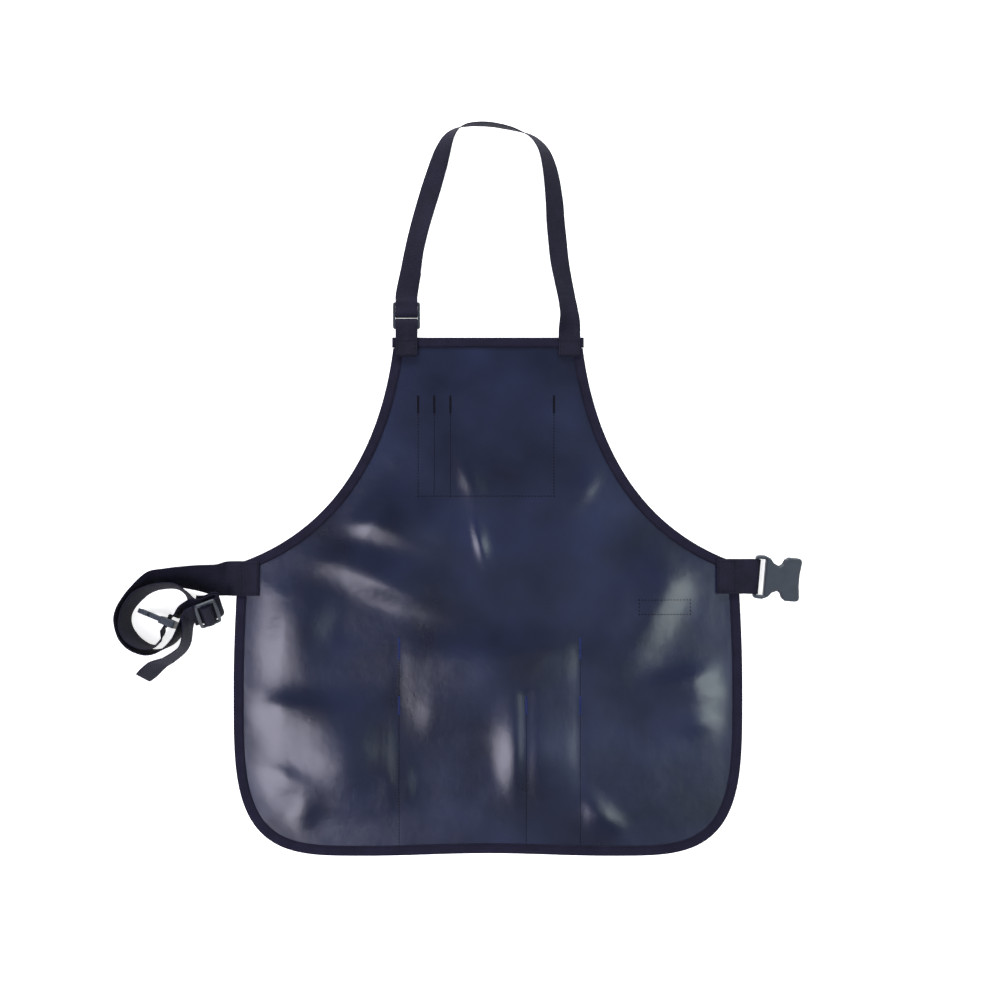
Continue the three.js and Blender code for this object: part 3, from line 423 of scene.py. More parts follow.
class ApronOutline:
    """The outline of the body's right half, and distances from it."""

    def __init__(self) -> None:
        """Samples the outline finely, from the hem up."""
        corner = [self.corner_point(t) for t in np.linspace(0, 1, DETAIL.outline_corner)]
        side = [self.side_point(t) for t in np.linspace(0, 1, DETAIL.outline_side)[1:]]
        armhole = [self.armhole_point(1 - t) for t in np.linspace(0, 1, DETAIL.outline_armhole)[1:]]
        self.points = np.array(corner + side + armhole)

    @staticmethod
    def armhole_point(t: float) -> tuple[float, float, float, float]:
        """A point and outward normal of the armhole, from the bib's top down."""
        reach = SIZES.half_waist - SIZES.half_bib
        depth = SIZES.armhole_depth
        pulls = [(SIZES.half_bib + out * reach, depth * (1 - down)) for out, down in ARMHOLE_PULLS]
        p = np.array([(SIZES.half_bib, depth), *pulls, (SIZES.half_waist, 0.0)])
        s = 1 - t
        point = s**3 * p[0] + 3 * s * s * t * p[1] + 3 * s * t * t * p[2] + t**3 * p[3]
        way = s * s * (p[1] - p[0]) + 2 * s * t * (p[2] - p[1]) + t * t * (p[3] - p[2])
        way /= np.linalg.norm(way)
        return point[0], point[1], -way[1], way[0]

    @staticmethod
    def side_point(t: float) -> tuple[float, float, float, float]:
        """A point and outward normal of the side, from the corner up to the waist."""
        level = SIZES.hem_level + SIZES.corner_rise
        spread = SIZES.half_body - SIZES.half_waist
        turn = t * math.pi / 2
        way = np.array([-spread * math.sin(turn) * math.pi / 2, -level])
        way /= np.linalg.norm(way)
        return SIZES.half_waist + spread * math.cos(turn), level * (1 - t), way[1], -way[0]

    @staticmethod
    def corner_point(t: float) -> tuple[float, float, float, float]:
        """A point and outward normal of the hem's corner, from the hem up to the side."""
        level = SIZES.hem_level + SIZES.corner_rise
        angle = (1 - t * t * (3 - 2 * t)) * math.pi / 2
        across = max(math.cos(angle), 0.0) ** (2 / SIZES.corner_power)
        down = max(math.sin(angle), 0.0) ** (2 / SIZES.corner_power)
        normal = np.array([
            across ** (SIZES.corner_power - 1) / SIZES.corner_reach,
            -(down ** (SIZES.corner_power - 1)) / SIZES.corner_rise,
        ])
        normal /= np.linalg.norm(normal)
        return (
            SIZES.half_body - SIZES.corner_reach * (1 - across),
            level - SIZES.corner_rise * down,
            normal[0],
            normal[1],
        )

    def edge(self, y: np.ndarray) -> tuple[np.ndarray, np.ndarray]:
        """Half the width at heights y, and how squarely the edge faces sideways there."""
        heights = self.points[:, 1]
        return np.interp(y, heights, self.points[:, 0]), np.interp(y, heights, self.points[:, 2])

    def distance(self, x: np.ndarray, y: np.ndarray) -> np.ndarray:
        """Distance of points from the nearest edge."""
        nearest = np.minimum(y - SIZES.hem_level, SIZES.armhole_depth - y) ** 2
        for (x0, y0), (x1, y1) in zip(self.points[:-1, :2], self.points[1:, :2]):
            way_x, way_y = x1 - x0, y1 - y0
            dx, dy = np.abs(x) - x0, y - y0
            share = np.clip((dx * way_x + dy * way_y) / (way_x**2 + way_y**2), 0, 1)
            nearest = np.minimum(nearest, (dx - share * way_x) ** 2 + (dy - share * way_y) ** 2)
        return np.sqrt(nearest)


def smoothstep(value: np.ndarray, low: float, high: float) -> np.ndarray:
    """A smooth step from 0 at low to 1 at high."""
    t = np.clip((np.asarray(value, dtype=float) - low) / (high - low), 0, 1)
    return t * t * (3 - 2 * t)


class LaidCloth:
    """The height of the cloth as it lies: its folds, held down by its seams and edges."""

    def __init__(self, outline: ApronOutline) -> None:
        """Lists the stitch lines that hold the cloth to its pockets."""
        self.outline = outline
        half = SIZES.bib_pocket_width / 2 - SIZES.seam_margin
        left, right = SIZES.bib_pocket_shift - half, SIZES.bib_pocket_shift + half
        top = SIZES.armhole_depth - SIZES.bib_pocket_drop - SIZES.seam_margin
        low = SIZES.armhole_depth - SIZES.bib_pocket_drop - SIZES.bib_pocket_height + SIZES.seam_margin
        skirt_low = SIZES.hem_level + SIZES.tape_width
        tall_half = SIZES.tall_pocket_width / 2 - SIZES.seam_margin
        tall_top = SIZES.hem_level + SIZES.tall_pocket_height
        row_top = SIZES.hem_level + SIZES.lower_pocket_height
        shift = SIZES.tall_pocket_shift
        pens = [left + k * SIZES.pen_slot_width for k in range(3)]
        self.seams = [(x, low, x, top) for x in [*pens, right]]
        self.seams += [
            (left, low, right, low),
            (shift - tall_half, skirt_low, shift - tall_half, tall_top),
            (shift + tall_half, skirt_low, shift + tall_half, tall_top),
            (shift + SIZES.pocket_divider_offset, skirt_low, shift + SIZES.pocket_divider_offset, row_top),
        ]

    def seam_hold(self, x: np.ndarray, y: np.ndarray) -> np.ndarray:
        """How far the seams leave a fold its height, from 0 to 1."""
        hold = np.ones_like(x)
        for x0, y0, x1, y1 in self.seams:
            span = (x1 - x0) ** 2 + (y1 - y0) ** 2
            share = np.clip(((x - x0) * (x1 - x0) + (y - y0) * (y1 - y0)) / span, 0, 1)
            d = np.hypot(x - x0 - share * (x1 - x0), y - y0 - share * (y1 - y0)) / SIZES.seam_reach
            hold *= 1 - SIZES.seam_pull * np.exp(-d * d)
        return hold

    @staticmethod
    def fold_height(x: np.ndarray, y: np.ndarray) -> np.ndarray:
        """The sum of all folds, in millimetres."""
        height = np.zeros_like(x)
        for fold in FOLDS:
            dx = x - fold.x * SIZES.half_body
            dy = y - (SIZES.hem_level + fold.y * SIZES.body_length)
            c, s = math.cos(math.radians(fold.turn)), math.sin(math.radians(fold.turn))
            along = (dx * c + dy * s) / (fold.long * SIZES.half_body)
            side = dy * c - dx * s
            reach = np.where(side > 0, fold.near, fold.far) * SIZES.half_body
            height += fold.high * SIZES.fold_height * np.exp(-along**2 - (side / reach) ** 2)
        return height

    def under(self, x: np.ndarray, y: np.ndarray) -> np.ndarray:
        """Height of the cloth's underside at points of its flat plan."""
        x, y = np.asarray(x, dtype=float), np.asarray(y, dtype=float)
        near = SIZES.tape_width + SIZES.edge_flat
        fade = smoothstep(self.outline.distance(x, y), near, near + SIZES.edge_fade)
        rise = self.fold_height(x, y) * self.seam_hold(x, y)
        softness = 1.0
        lifted = (rise + np.sqrt(rise * rise + softness)) / 2
        rest = SIZES.skirt_rest + (SIZES.bib_rest - SIZES.skirt_rest) * smoothstep(y, 0, SIZES.rest_change)
        return rest + lifted * fade

    @staticmethod
    def laid(x: np.ndarray, y: np.ndarray, z: np.ndarray) -> np.ndarray:
        """Points of the cloth as it lies, with the hem's shallow wave."""
        x, y, z = np.broadcast_arrays(
            np.asarray(x, dtype=float), np.asarray(y, dtype=float), np.asarray(z, dtype=float)
        )
        flat_hem = SIZES.half_body - SIZES.corner_reach
        wave = np.where(np.abs(x) < flat_hem, (1 + np.cos(math.pi * x / flat_hem)) / 2, 0)
        near_hem = 1 - smoothstep(y, SIZES.hem_level, SIZES.hem_level + SIZES.corner_rise)
        return np.stack([x, y + SIZES.hem_wave * wave * near_hem, z], axis=-1)


def inside_edge(path: np.ndarray, inset: float) -> np.ndarray:
    """Points inside a path of x, y and outward normal, without those that rise too little."""
    rows = path[:, :2] - inset * path[:, 2:]
    return rows[np.concatenate([[True], np.diff(rows[:, 1]) > DETAIL.row_step])]


def distances(steps: np.ndarray) -> np.ndarray:
    """The distance from the first point at each point, from the steps between them."""
    return np.concatenate([[0], np.cumsum(np.linalg.norm(steps, axis=1))])


def tape_pucker(along: np.ndarray) -> np.ndarray:
    """Puckers of the tape in millimetres: a broad uneven wave and a fine one along it."""
    broad = 0.128 * np.sin(along * 0.41) * np.sin(along * 0.137 + 1.7)
    return broad + 0.072 * np.sin(along * 0.93 + 0.6)


class SewnBody:
    """The cloth of the apron, its pockets and the tape round its edges."""

    def __init__(self, maker: MeshMaker, cloth: LaidCloth) -> None:
        """Keeps the mesh maker and the cloth's surface."""
        self.maker = maker
        self.cloth = cloth

    def panel(self) -> bpy.types.Object:
        """Makes the body's cloth as a fine closed sheet."""
        inset = SIZES.tape_wall + SIZES.gap
        least_facing = 0.5
        corner = np.array([ApronOutline.corner_point(t) for t in np.linspace(0, 1, DETAIL.panel_corner)])
        low = corner[corner[:, 1] < SIZES.hem_level + DETAIL.panel_corner_height]
        edge_rows = inside_edge(low, inset)
        first = edge_rows[-1, 1] + DETAIL.panel_corner_gap
        y = np.linspace(first, SIZES.armhole_depth - inset, DETAIL.panel_rows)
        half, facing = self.cloth.outline.edge(y)
        side_rows = np.column_stack([half - inset / np.maximum(facing, least_facing), y])
        rows = np.concatenate([edge_rows, side_rows])
        x = rows[:, :1] * np.linspace(-1, 1, DETAIL.panel_columns)[None, :]
        y = np.broadcast_to(rows[:, 1:], x.shape)
        under = self.cloth.under(x, y)
        lower = self.cloth.laid(x, y, under)
        upper = self.cloth.laid(x, y, under + SIZES.wall)
        return self.maker.sheet("apron_cloth", lower, upper)

    def tape(self, name: str, path: np.ndarray, held_below: float) -> bpy.types.Object:
        """Folds a tape over an edge.

        Args:
            name: the object's name.
            path: rows of x, y and the outward normal along the edge.
            held_below: what the tape holds under the cloth, in millimetres.

        Returns:
            The tape's object.
        """
        top = SIZES.wall + SIZES.gap + SIZES.tape_wall
        bottom = -SIZES.gap - held_below - SIZES.tape_wall
        wall, width, soft = SIZES.tape_wall, SIZES.tape_width, 0.45
        # The section's corners: inwards from the fold at the edge, and up from the cloth's underside.
        section = np.array([
            (0.0, bottom + soft), (soft, bottom + 0.05), (1.5, bottom), (width - 2.2, bottom),
            (width - 0.25, bottom + 0.15), (width, bottom + wall * 0.6), (width - 0.4, bottom + wall),
            (wall, bottom + wall), (wall, top - wall), (width - 0.4, top - wall),
            (width, top - wall * 0.6), (width - 0.25, top - 0.15), (width - 2.2, top),
            (width * 0.5, top - 0.04), (1.6, top), (soft, top - 0.08), (0.0, top - soft - 0.1),
        ])
        along = distances(np.diff(path[:, :2], axis=0))
        inward = section[None, :, 0] * np.ones((len(path), 1))
        x = path[:, :1] - inward * path[:, 2:3]
        y = path[:, 1:2] - inward * path[:, 3:4]
        upper_share = np.clip((section[:, 1] - bottom) / (top - bottom), 0, 1) * (section[:, 0] > 1)
        lift = tape_pucker(along)[:, None] * upper_share[None, :]
        rings = self.cloth.laid(x, y, self.cloth.under(x, y) + section[None, :, 1] - np.abs(lift))
        return self.maker.sweep(name, rings, distances(np.diff(section, axis=0)), along)

    def armhole_path(self) -> np.ndarray:
        """The right armhole's edge, from under the bib's tape down to the waist."""
        shares = np.linspace(0, 1, DETAIL.armhole_tape)
        fine = np.array([ApronOutline.armhole_point(t) for t in shares])
        start = SIZES.armhole_depth - SIZES.tape_width - SIZES.gap
        fine = fine[fine[:, 1] <= start]
        stride = DETAIL.armhole_tape_stride
        path = fine[::stride]
        return path if (len(fine) - 1) % stride == 0 else np.vstack([path, fine[-1:]])

    def hem_path(self) -> np.ndarray:
        """The edge round the skirt, from the left side over the hem to the right side."""
        corner = np.array([ApronOutline.corner_point(t) for t in np.linspace(0, 1, DETAIL.corner_tape)])
        steps = np.hypot(*np.diff(corner[:, :2], axis=0).T)
        corner = corner[np.concatenate([[True], steps > DETAIL.ring_step])]
        side = np.array([ApronOutline.side_point(t) for t in np.linspace(0, 1, DETAIL.side_tape)[1:]])
        right = np.vstack([corner, side[side[:, 1] < -SIZES.tape_width - SIZES.gap]])
        flat = SIZES.half_body - SIZES.corner_reach
        spots = np.linspace(-flat, flat, DETAIL.hem_tape)[1:-1]
        hem = np.array([(x, SIZES.hem_level, 0.0, -1.0) for x in spots])
        return np.vstack([right[::-1] * MIRROR, hem, right])

    @staticmethod
    def bib_path(shortened: float, count: int) -> np.ndarray:
        """The bib's top edge to the ends of its tape, each end shortened by a length."""
        reach = SIZES.half_bib + SIZES.tape_overhang - shortened
        return np.array([(x, SIZES.armhole_depth, 0.0, 1.0) for x in np.linspace(-reach, reach, count)])

    def tapes(self) -> dict[str, bpy.types.Object]:
        """Makes the four tapes, named by the node that each stands for."""
        right = self.armhole_path()
        return {
            "bib_binding": self.tape("bib_tape", self.bib_path(0, DETAIL.bib_tape), 0),
            "armhole_binding_right": self.tape("armhole_tape_right", right, 0),
            "armhole_binding_left": self.tape("armhole_tape_left", right * MIRROR, 0),
            "hem_binding": self.tape("hem_tape", self.hem_path(), SIZES.wall + SIZES.gap),
        }

    def pocket(
        self, name: str, size: tuple[float, float], low: tuple[float, float], level: float
    ) -> bpy.types.Object:
        """Makes a patch pocket with turned edges and a hemmed mouth.

        Args:
            name: the object's name.
            size: width and height.
            low: the middle of its lower edge.
            level: height of its outer face.

        Returns:
            The pocket's object.
        """
        width, height = size
        even = np.linspace(POCKET.edge_inside, width - POCKET.edge_inside, DETAIL.pocket_columns)
        across = np.concatenate([POCKET.edge_lines, even, width - np.array(POCKET.edge_lines[::-1])])
        even = np.linspace(POCKET.edge_inside, height - POCKET.hem_inside, DETAIL.pocket_rows)
        up = np.concatenate([POCKET.edge_lines, even, height - np.array(POCKET.hem_lines[::-1])])
        x, y = np.meshgrid(low[0] - width / 2 + across, low[1] + up)
        edge_x = np.minimum(across, width - across)[None, :]
        edge_y = np.minimum(up, height - up)[:, None]
        edge = np.minimum(edge_x, edge_y)
        outer = POCKET.relief((edge < POCKET.turned) | (up[:, None] > height - POCKET.hem), edge)
        lower = self.cloth.laid(x, y, level + outer)
        upper = self.cloth.laid(x, y, np.full_like(x, level + SIZES.wall))
        return self.maker.sheet(name, lower, upper)

    def lower_pocket(self) -> bpy.types.Object:
        """Makes the wide pocket along the hem, within the tape."""
        inside = SIZES.tape_width + 2 * SIZES.gap
        mouth = SIZES.hem_level + SIZES.lower_pocket_height
        shares = np.linspace(0, 1, DETAIL.hem_pocket_corner)
        edge = inside_edge(np.array([ApronOutline.corner_point(t) for t in shares]), inside)
        edge = edge[edge[:, 1] < mouth - POCKET.hem_inside]
        levels = mouth - np.array(POCKET.hem_lines[::-1])
        half, _ = self.cloth.outline.edge(levels)
        rows = np.vstack([edge, np.column_stack([half - inside, levels])])
        x = rows[:, :1] * np.linspace(-1, 1, DETAIL.hem_pocket_columns)[None, :]
        y = np.broadcast_to(rows[:, 1:], x.shape)
        outer = POCKET.relief(y > mouth - POCKET.hem, mouth - y)
        lower = self.cloth.laid(x, y, outer)
        upper = self.cloth.laid(x, y, np.full_like(x, SIZES.wall))
        return self.maker.sheet("hem_pocket", lower, upper)

    def pockets(self) -> dict[str, bpy.types.Object]:
        """Makes the three pockets, named by the node that each stands for."""
        bib_low = SIZES.armhole_depth - SIZES.bib_pocket_drop - SIZES.bib_pocket_height
        tall_low = SIZES.hem_level + SIZES.tape_width + SIZES.edge_flat
        return {
            "bib_pocket": self.pocket(
                "chest_pocket", (SIZES.bib_pocket_width, SIZES.bib_pocket_height),
                (SIZES.bib_pocket_shift, bib_low), 0.0,
            ),
            "tall_pocket": self.pocket(
                "front_pocket", (SIZES.tall_pocket_width, SIZES.tall_pocket_height),
                (SIZES.tall_pocket_shift, tall_low), SIZES.wall + SIZES.gap,
            ),
            "lower_pocket": self.lower_pocket(),
        }


# Rows of the webbing's runs. Neck and waist rows are x, y, heading, lean and lift, and the rows
# through a buckle are shares along it and above it.
NECK_RUN = (
    (-0.381, 0.192, 0, 4, 2.6),
    (-0.372, 0.248, -4, 12, 1.5),
    (-0.360, 0.309, -8, 18, 1.4),
    (-0.344, 0.402, -12, 26, 1.2),
    (-0.320, 0.505, -15, 26, 1.0),
    (-0.297, 0.589, -17, 24, 0),
    (-0.266, 0.692, -18, 22, 0),
    (-0.231, 0.804, -19, 30, 0),
    (-0.213, 0.860, -24, 38, 0),
    (-0.189, 0.916, -35, 52, 0),
    (-0.166, 0.947, -45, 64, 0),
    (-0.136, 0.970, -58, 77, 0),
    (-0.093, 0.984, -72, 86, 0),
    (-0.037, 0.988, -84, 90, 0),
    (0.019, 0.985, -93, 90, 0),
    (0.070, 0.976, -100, 89, 0),
    (0.117, 0.965, -108, 86, 0),
    (0.159, 0.951, -115, 80, 0),
    (0.201, 0.933, -128, 74, 0),
    (0.236, 0.902, -142, 66, 0),
    (0.264, 0.860, -158, 57, 0),
    (0.283, 0.804, -167, 49, 0),
    (0.295, 0.748, -171, 43, 0),
    (0.310, 0.626, -175, 34, 0),
    (0.315, 0.542, -176, 31, 0),
    (0.323, 0.458, -173, 29, 0),
    (0.334, 0.355, -171, 30, 0),
    (0.351, 0.262, -169, 34, 0),
    (0.368, 0.178, -168, 36, 0),
    (0.379, 0.112, -171, 30, 0.6),
    (0.381, 0.061, -178, 12, 1.8),
)
OUTER_TURN = (
    (-0.089, -0.126, 90, 8, 0.01),
    (-0.173, -0.133, 90, 26, 0.0),
    (-0.315, -0.118, 92, 40, 0.0),
    (-0.433, -0.112, 94, 49, 0.0),
    (-0.559, -0.113, 97, 56, 0.0),
    (-0.682, -0.124, 105, 62, 0.0),
    (-0.805, -0.212, 136, 73, 0.0),
    (-0.871, -0.282, 148, 77, 0.0),
    (-0.920, -0.355, 160, 79, 0.0),
    (-0.943, -0.436, 173, 79.5, 0.0),
    (-0.933, -0.514, 192, 79.5, 0.0),
    (-0.904, -0.594, 210, 80, 0.0),
    (-0.850, -0.657, 230, 81, 0.0),
    (-0.791, -0.695, 250, 83, 0.0),
    (-0.710, -0.719, 268, 85, 0.0),
    (-0.627, -0.709, 285, 88, 0.0),
    (-0.545, -0.665, 130, 87, 0.03),
    (-0.47, -0.585, 118, 84, 0.06),
)
ARCH = (
    (-0.364, -0.371, 98, 50, 0.17),
    (-0.430, -0.388, 90, 66, 0.14),
    (-0.479, -0.429, 74, 80, 0.12),
)
INNER_TURN = (
    (-0.594, -0.587, 10, 82, 0.08),
    (-0.627, -0.634, 330, 82, 0.03),
    (-0.689, -0.679, 265, 88, 0.0),
    (-0.779, -0.655, 235, 83, 0.0),
    (-0.861, -0.591, 212, 78, 0.0),
    (-0.903, -0.506, 190, 79, 0.0),
    (-0.902, -0.432, 172, 81, 0.0),
    (-0.882, -0.366, 155, 79, 0.0),
    (-0.803, -0.263, 135, 75, 0.0),
    (-0.734, -0.217, 118, 77, 0.0),
    (-0.647, -0.188, 95, 78, 0.0),
    (-0.493, -0.184, 80, 77, 0.0),
    (-0.405, -0.241, 62, 76, 0.0),
    (-0.340, -0.315, 80, 60, 0.0),
)
TAIL = (
    (-0.42, -0.67, 118, 80, 0.09),
    (-0.54, -0.775, 127, 76, 0.04),
    (-0.644, -0.826, 146, 66, 0.03),
    (-0.718, -0.891, 164, 61, 0.01),
    (-0.763, -0.930, 184, 58, 0.034),
)
FIRST_PASS = (
    (-1.3, -1.5),
    (-1, -1.45),
    (-0.65, -1.42),
    (-0.47, -1.2),
    (-0.315, -0.2),
    (-0.277, 0.4),
    (-0.154, 0.83),
    (0, 0.9),
    (0.154, 0.83),
    (0.277, 0.4),
    (0.315, -0.2),
    (0.47, -1.2),
    (0.65, -1.42),
    (1, -1.35),
    (1.185, -1.8),
    (1.246, -2.47),
    (1.138, -3.07),
    (0.62, -3.2),
    (-0.15, -3.13),
)
SECOND_PASS = (
    (0.15, -4.2),
    (0.7, -4.1),
    (1.246, -3.8),
    (1.41, -2.67),
    (1.32, -1.47),
    (1.09, -0.95),
    (0.88, -0.83),
    (0.63, -0.85),
    (0.446, 0.13),
    (0.385, 0.87),
    (0.215, 1.4),
    (0, 1.47),
    (-0.215, 1.4),
    (-0.385, 0.87),
    (-0.446, 0.13),
    (-0.63, -0.92),
    (-0.92, -0.95),
    (-1.5, -0.97),
)
# Where the hard parts sit: x, y, lift, heading, lean and roll of the slider, then x, y, heading,
# lean and pointing of the prong buckle.
SLIDER_SEAT = (-0.225, -0.405, 0.652, 94, 56, 20)
MALE_SEAT = (-0.485, -0.5, 50, 83, 157)
SLOT_PASS = (
    (0.2, 1.02),
    (0.22, 0.55),
    (0.222, 0),
    (0.225, -0.55),
    (0.25, -0.95),
)
# Half a turn round a bar, from below it to above it: out and up, as shares of the turn's radius.
HALF_TURN = ((0, -1), (0.8, -0.6), (1, 0), (0.8, 0.6), (0, 1))
# The lower face of the webbing's section, as shares of half its width and half its thickness.
WEBBING_FACE = (
    (-1, -0.35), (-0.985, -0.85), (-0.95, -1), (-0.5, -0.92), (0, -0.9),
    (0.5, -0.92), (0.95, -1), (0.985, -0.85), (1, -0.35),
)
FLAT_NECK = np.array([1.0, 0, 0])
FLAT_WAIST = np.array([0, 1.0, 0])


@dataclass(frozen=True)
class Place:
    """A place on a run of webbing: its middle and the direction across its width."""

    middle: np.ndarray
    across: np.ndarray


def leaning(heading: float, lean: float) -> np.ndarray:
    """The width's direction: its raised edge points to a heading, leaning up from flat."""
    h, t = math.radians(heading), math.radians(lean)
    return np.array([math.cos(h) * math.cos(t), math.sin(h) * math.cos(t), math.sin(t)])


def flat_places(points: list[tuple[float, float, float]], across: np.ndarray) -> list[Place]:
    """Places at points of a flat stretch, all with the same width direction."""
    return [Place(np.array(point, dtype=float), across) for point in points]


class Webbing:
    """A flat woven strap swept along a smooth line."""

    def __init__(self, maker: MeshMaker, width: float) -> None:
        """Keeps the mesh maker and the strap's width."""
        self.maker = maker
        self.width = width

    @staticmethod
    def _span(points: list[np.ndarray], i: int, shares: np.ndarray) -> tuple[np.ndarray, np.ndarray]:
        """Points and tangents of the centripetal spline between places i and i + 1."""
        last = len(points) - 1
        p1, p2 = points[i], points[i + 1]
        p0 = points[i - 1] if i > 0 else 2 * p1 - p2
        p3 = points[i + 2] if i + 2 <= last else 2 * p2 - p1
        least = 1e-4
        pairs = ((p0, p1), (p1, p2), (p2, p3))
        d0, d1, d2 = (max(np.sum((b - a) ** 2) ** 0.25, least) for a, b in pairs)
        t1 = ((p1 - p0) / d0 - (p2 - p0) / (d0 + d1) + (p2 - p1) / d1) * d1
        t2 = ((p2 - p1) / d1 - (p3 - p1) / (d1 + d2) + (p3 - p2) / d2) * d1
        t = shares[:, None]
        c2, c3 = -3 * p1 + 3 * p2 - 2 * t1 - t2, 2 * p1 - 2 * p2 + t1 + t2
        return p1 + t1 * t + c2 * t**2 + c3 * t**3, t1 + 2 * c2 * t + 3 * c3 * t**2

    def path(self, places: list[Place], pace: float) -> tuple[np.ndarray, np.ndarray, np.ndarray]:
        """Middles, width directions and face normals at even steps along the places."""
        points = [p.middle for p in places]
        middles, widths, ups = [], [], []
        for i in range(len(places) - 1):
            count = max(2, round(float(np.linalg.norm(points[i + 1] - points[i])) / pace))
            shares = np.arange(count + (i == len(places) - 2)) / count
            at, way = self._span(points, i, shares)
            for share, middle, along in zip(shares, at, way):
                along = along / np.linalg.norm(along)
                across = places[i].across * (1 - share) + places[i + 1].across * share
                across = across - along * across.dot(along)
                across /= np.linalg.norm(across)
                middles.append(middle)
                widths.append(across)
                ups.append(np.cross(along, across))
        return np.array(middles), np.array(widths), np.array(ups)

    def make(self, name: str, places: list[Place]) -> bpy.types.Object:
        """Sweeps the strap with rounded edges.

        Args:
            name: the object's name.
            places: the places that the strap's middle runs through.

        Returns:
            The strap's object.
        """
        middles, widths, ups = self.path(places, DETAIL.webbing_pace)
        face = np.array(WEBBING_FACE) * (self.width / 2, STRAPS.wall / 2)
        section = np.concatenate([face, -face])
        rings = (
            middles[:, None, :]
            + widths[:, None, :] * section[None, :, :1]
            + ups[:, None, :] * section[None, :, 1:]
        )
        return self.maker.sweep(name, rings, section[:, 0], distances(np.diff(middles, axis=0)))


# Heights of the webbing's middle where it is sewn on over the tape, and of one more layer.
TAPE_TOP = SIZES.wall + SIZES.gap + SIZES.tape_wall + SIZES.gap
BIB_PATCH = SIZES.bib_rest + TAPE_TOP + STRAPS.wall / 2
WAIST_PATCH = SIZES.skirt_rest + TAPE_TOP + STRAPS.wall / 2
LAYER = STRAPS.wall + SIZES.gap


def bar_turn(bar_half: float) -> float:
    """The radius of webbing round a square bar."""
    return bar_half * math.sqrt(2) + SIZES.gap + STRAPS.wall / 2


class NeckLoop:
    """The neck strap with its sewn loop below the ladder lock."""

    def __init__(self, maker: MeshMaker) -> None:
        """Places the ladder lock's bars."""
        self.webbing = Webbing(maker, STRAPS.neck_width)
        turn = bar_turn(STRAPS.lock_bar / 2)
        self.turn = turn
        self.centre = np.array([
            -LOCK.side * STRAPS.neck_loop,
            SIZES.armhole_depth + LOCK.rise * STRAPS.neck_loop,
            STRAPS.wall / 2 + SIZES.gap + turn,
        ])
        self.top_bar = self.centre[1] + LOCK.top_bar * STRAPS.lock_length
        self.foot_bar = self.centre[1] - LOCK.foot_bar * STRAPS.lock_length
        self.end = self.centre[1] - LOCK.end * STRAPS.lock_length

    def half_turn(self, bar_y: float, way: int) -> list[Place]:
        """Half a turn round a bar, from below it to above it."""
        x, _, z = self.centre
        points = [(x, bar_y + way * a * self.turn, z + b * self.turn) for a, b in HALF_TURN]
        return flat_places(points, FLAT_NECK)

    def strap(self) -> bpy.types.Object:
        """Makes the strap, from its hidden tail round the lock to the right sewn end."""
        run = []
        for x, y, heading, lean, lift in NECK_RUN:
            rise = math.sin(math.radians(lean)) * STRAPS.neck_width / 2
            middle = np.array([x * STRAPS.neck_loop, y * STRAPS.neck_loop + SIZES.armhole_depth, 0])
            middle[2] = rise + STRAPS.wall / 2 + SIZES.gap / 2 + lift * LAYER
            run.append(Place(middle, leaning(heading, lean)))
        over = self.centre[2] + STRAPS.lock_thickness / 2 + SIZES.gap + STRAPS.wall / 2
        x = self.centre[0]
        beside = STRAPS.lock_bar / 2 + LOCK.clear
        top = flat_places([(x, self.top_bar + side * beside, over) for side in (-1, 1)], FLAT_NECK)
        below = flat_places([(x, self.top_bar, STRAPS.wall / 2)], FLAT_NECK)
        tail_end = self.centre[1] + STRAPS.neck_tail
        tail_layers = 1.3
        back = []
        for place in run:
            if place.middle[0] < 0 and place.middle[1] < tail_end:
                up = np.cross([0, 1, 0], place.across)
                up /= np.linalg.norm(up)
                drop = -LAYER * tail_layers * np.sign(up[2])
                back.append(Place(place.middle + up * drop, place.across))
        first = back[0].middle.copy()
        first[2] = STRAPS.wall / 2
        back[0] = Place(first, FLAT_NECK)
        sewn = [
            (LOCK.side * STRAPS.neck_loop, SIZES.armhole_depth + rise, BIB_PATCH)
            for rise in (8, 1.6, -STRAPS.neck_patch)
        ]
        places = [*reversed(back), *below, *self.half_turn(self.centre[1], -1), *top, *run]
        return self.webbing.make("neck_webbing", places + flat_places(sewn, -FLAT_NECK))

    def loop(self) -> bpy.types.Object:
        """Makes the short loop that holds the lock to the bib."""
        x = self.centre[0]
        top, upper = SIZES.armhole_depth, BIB_PATCH + LAYER
        before = [
            (x, top - STRAPS.neck_patch * 0.8, BIB_PATCH),
            (x, top - 3, BIB_PATCH),
            (x, top + 0.8, BIB_PATCH - 0.2),
            (x, self.end - 1, STRAPS.wall),
        ]
        after = [
            (x, self.end - 1, self.centre[2] + self.turn * 0.85),
            (x, top + 1, upper + 0.2),
            (x, top - 3, upper),
            (x, top - STRAPS.neck_patch, upper),
        ]
        places = flat_places(before, FLAT_NECK) + self.half_turn(self.foot_bar, 1)
        return self.webbing.make("neck_loop_webbing", places + flat_places(after, FLAT_NECK))


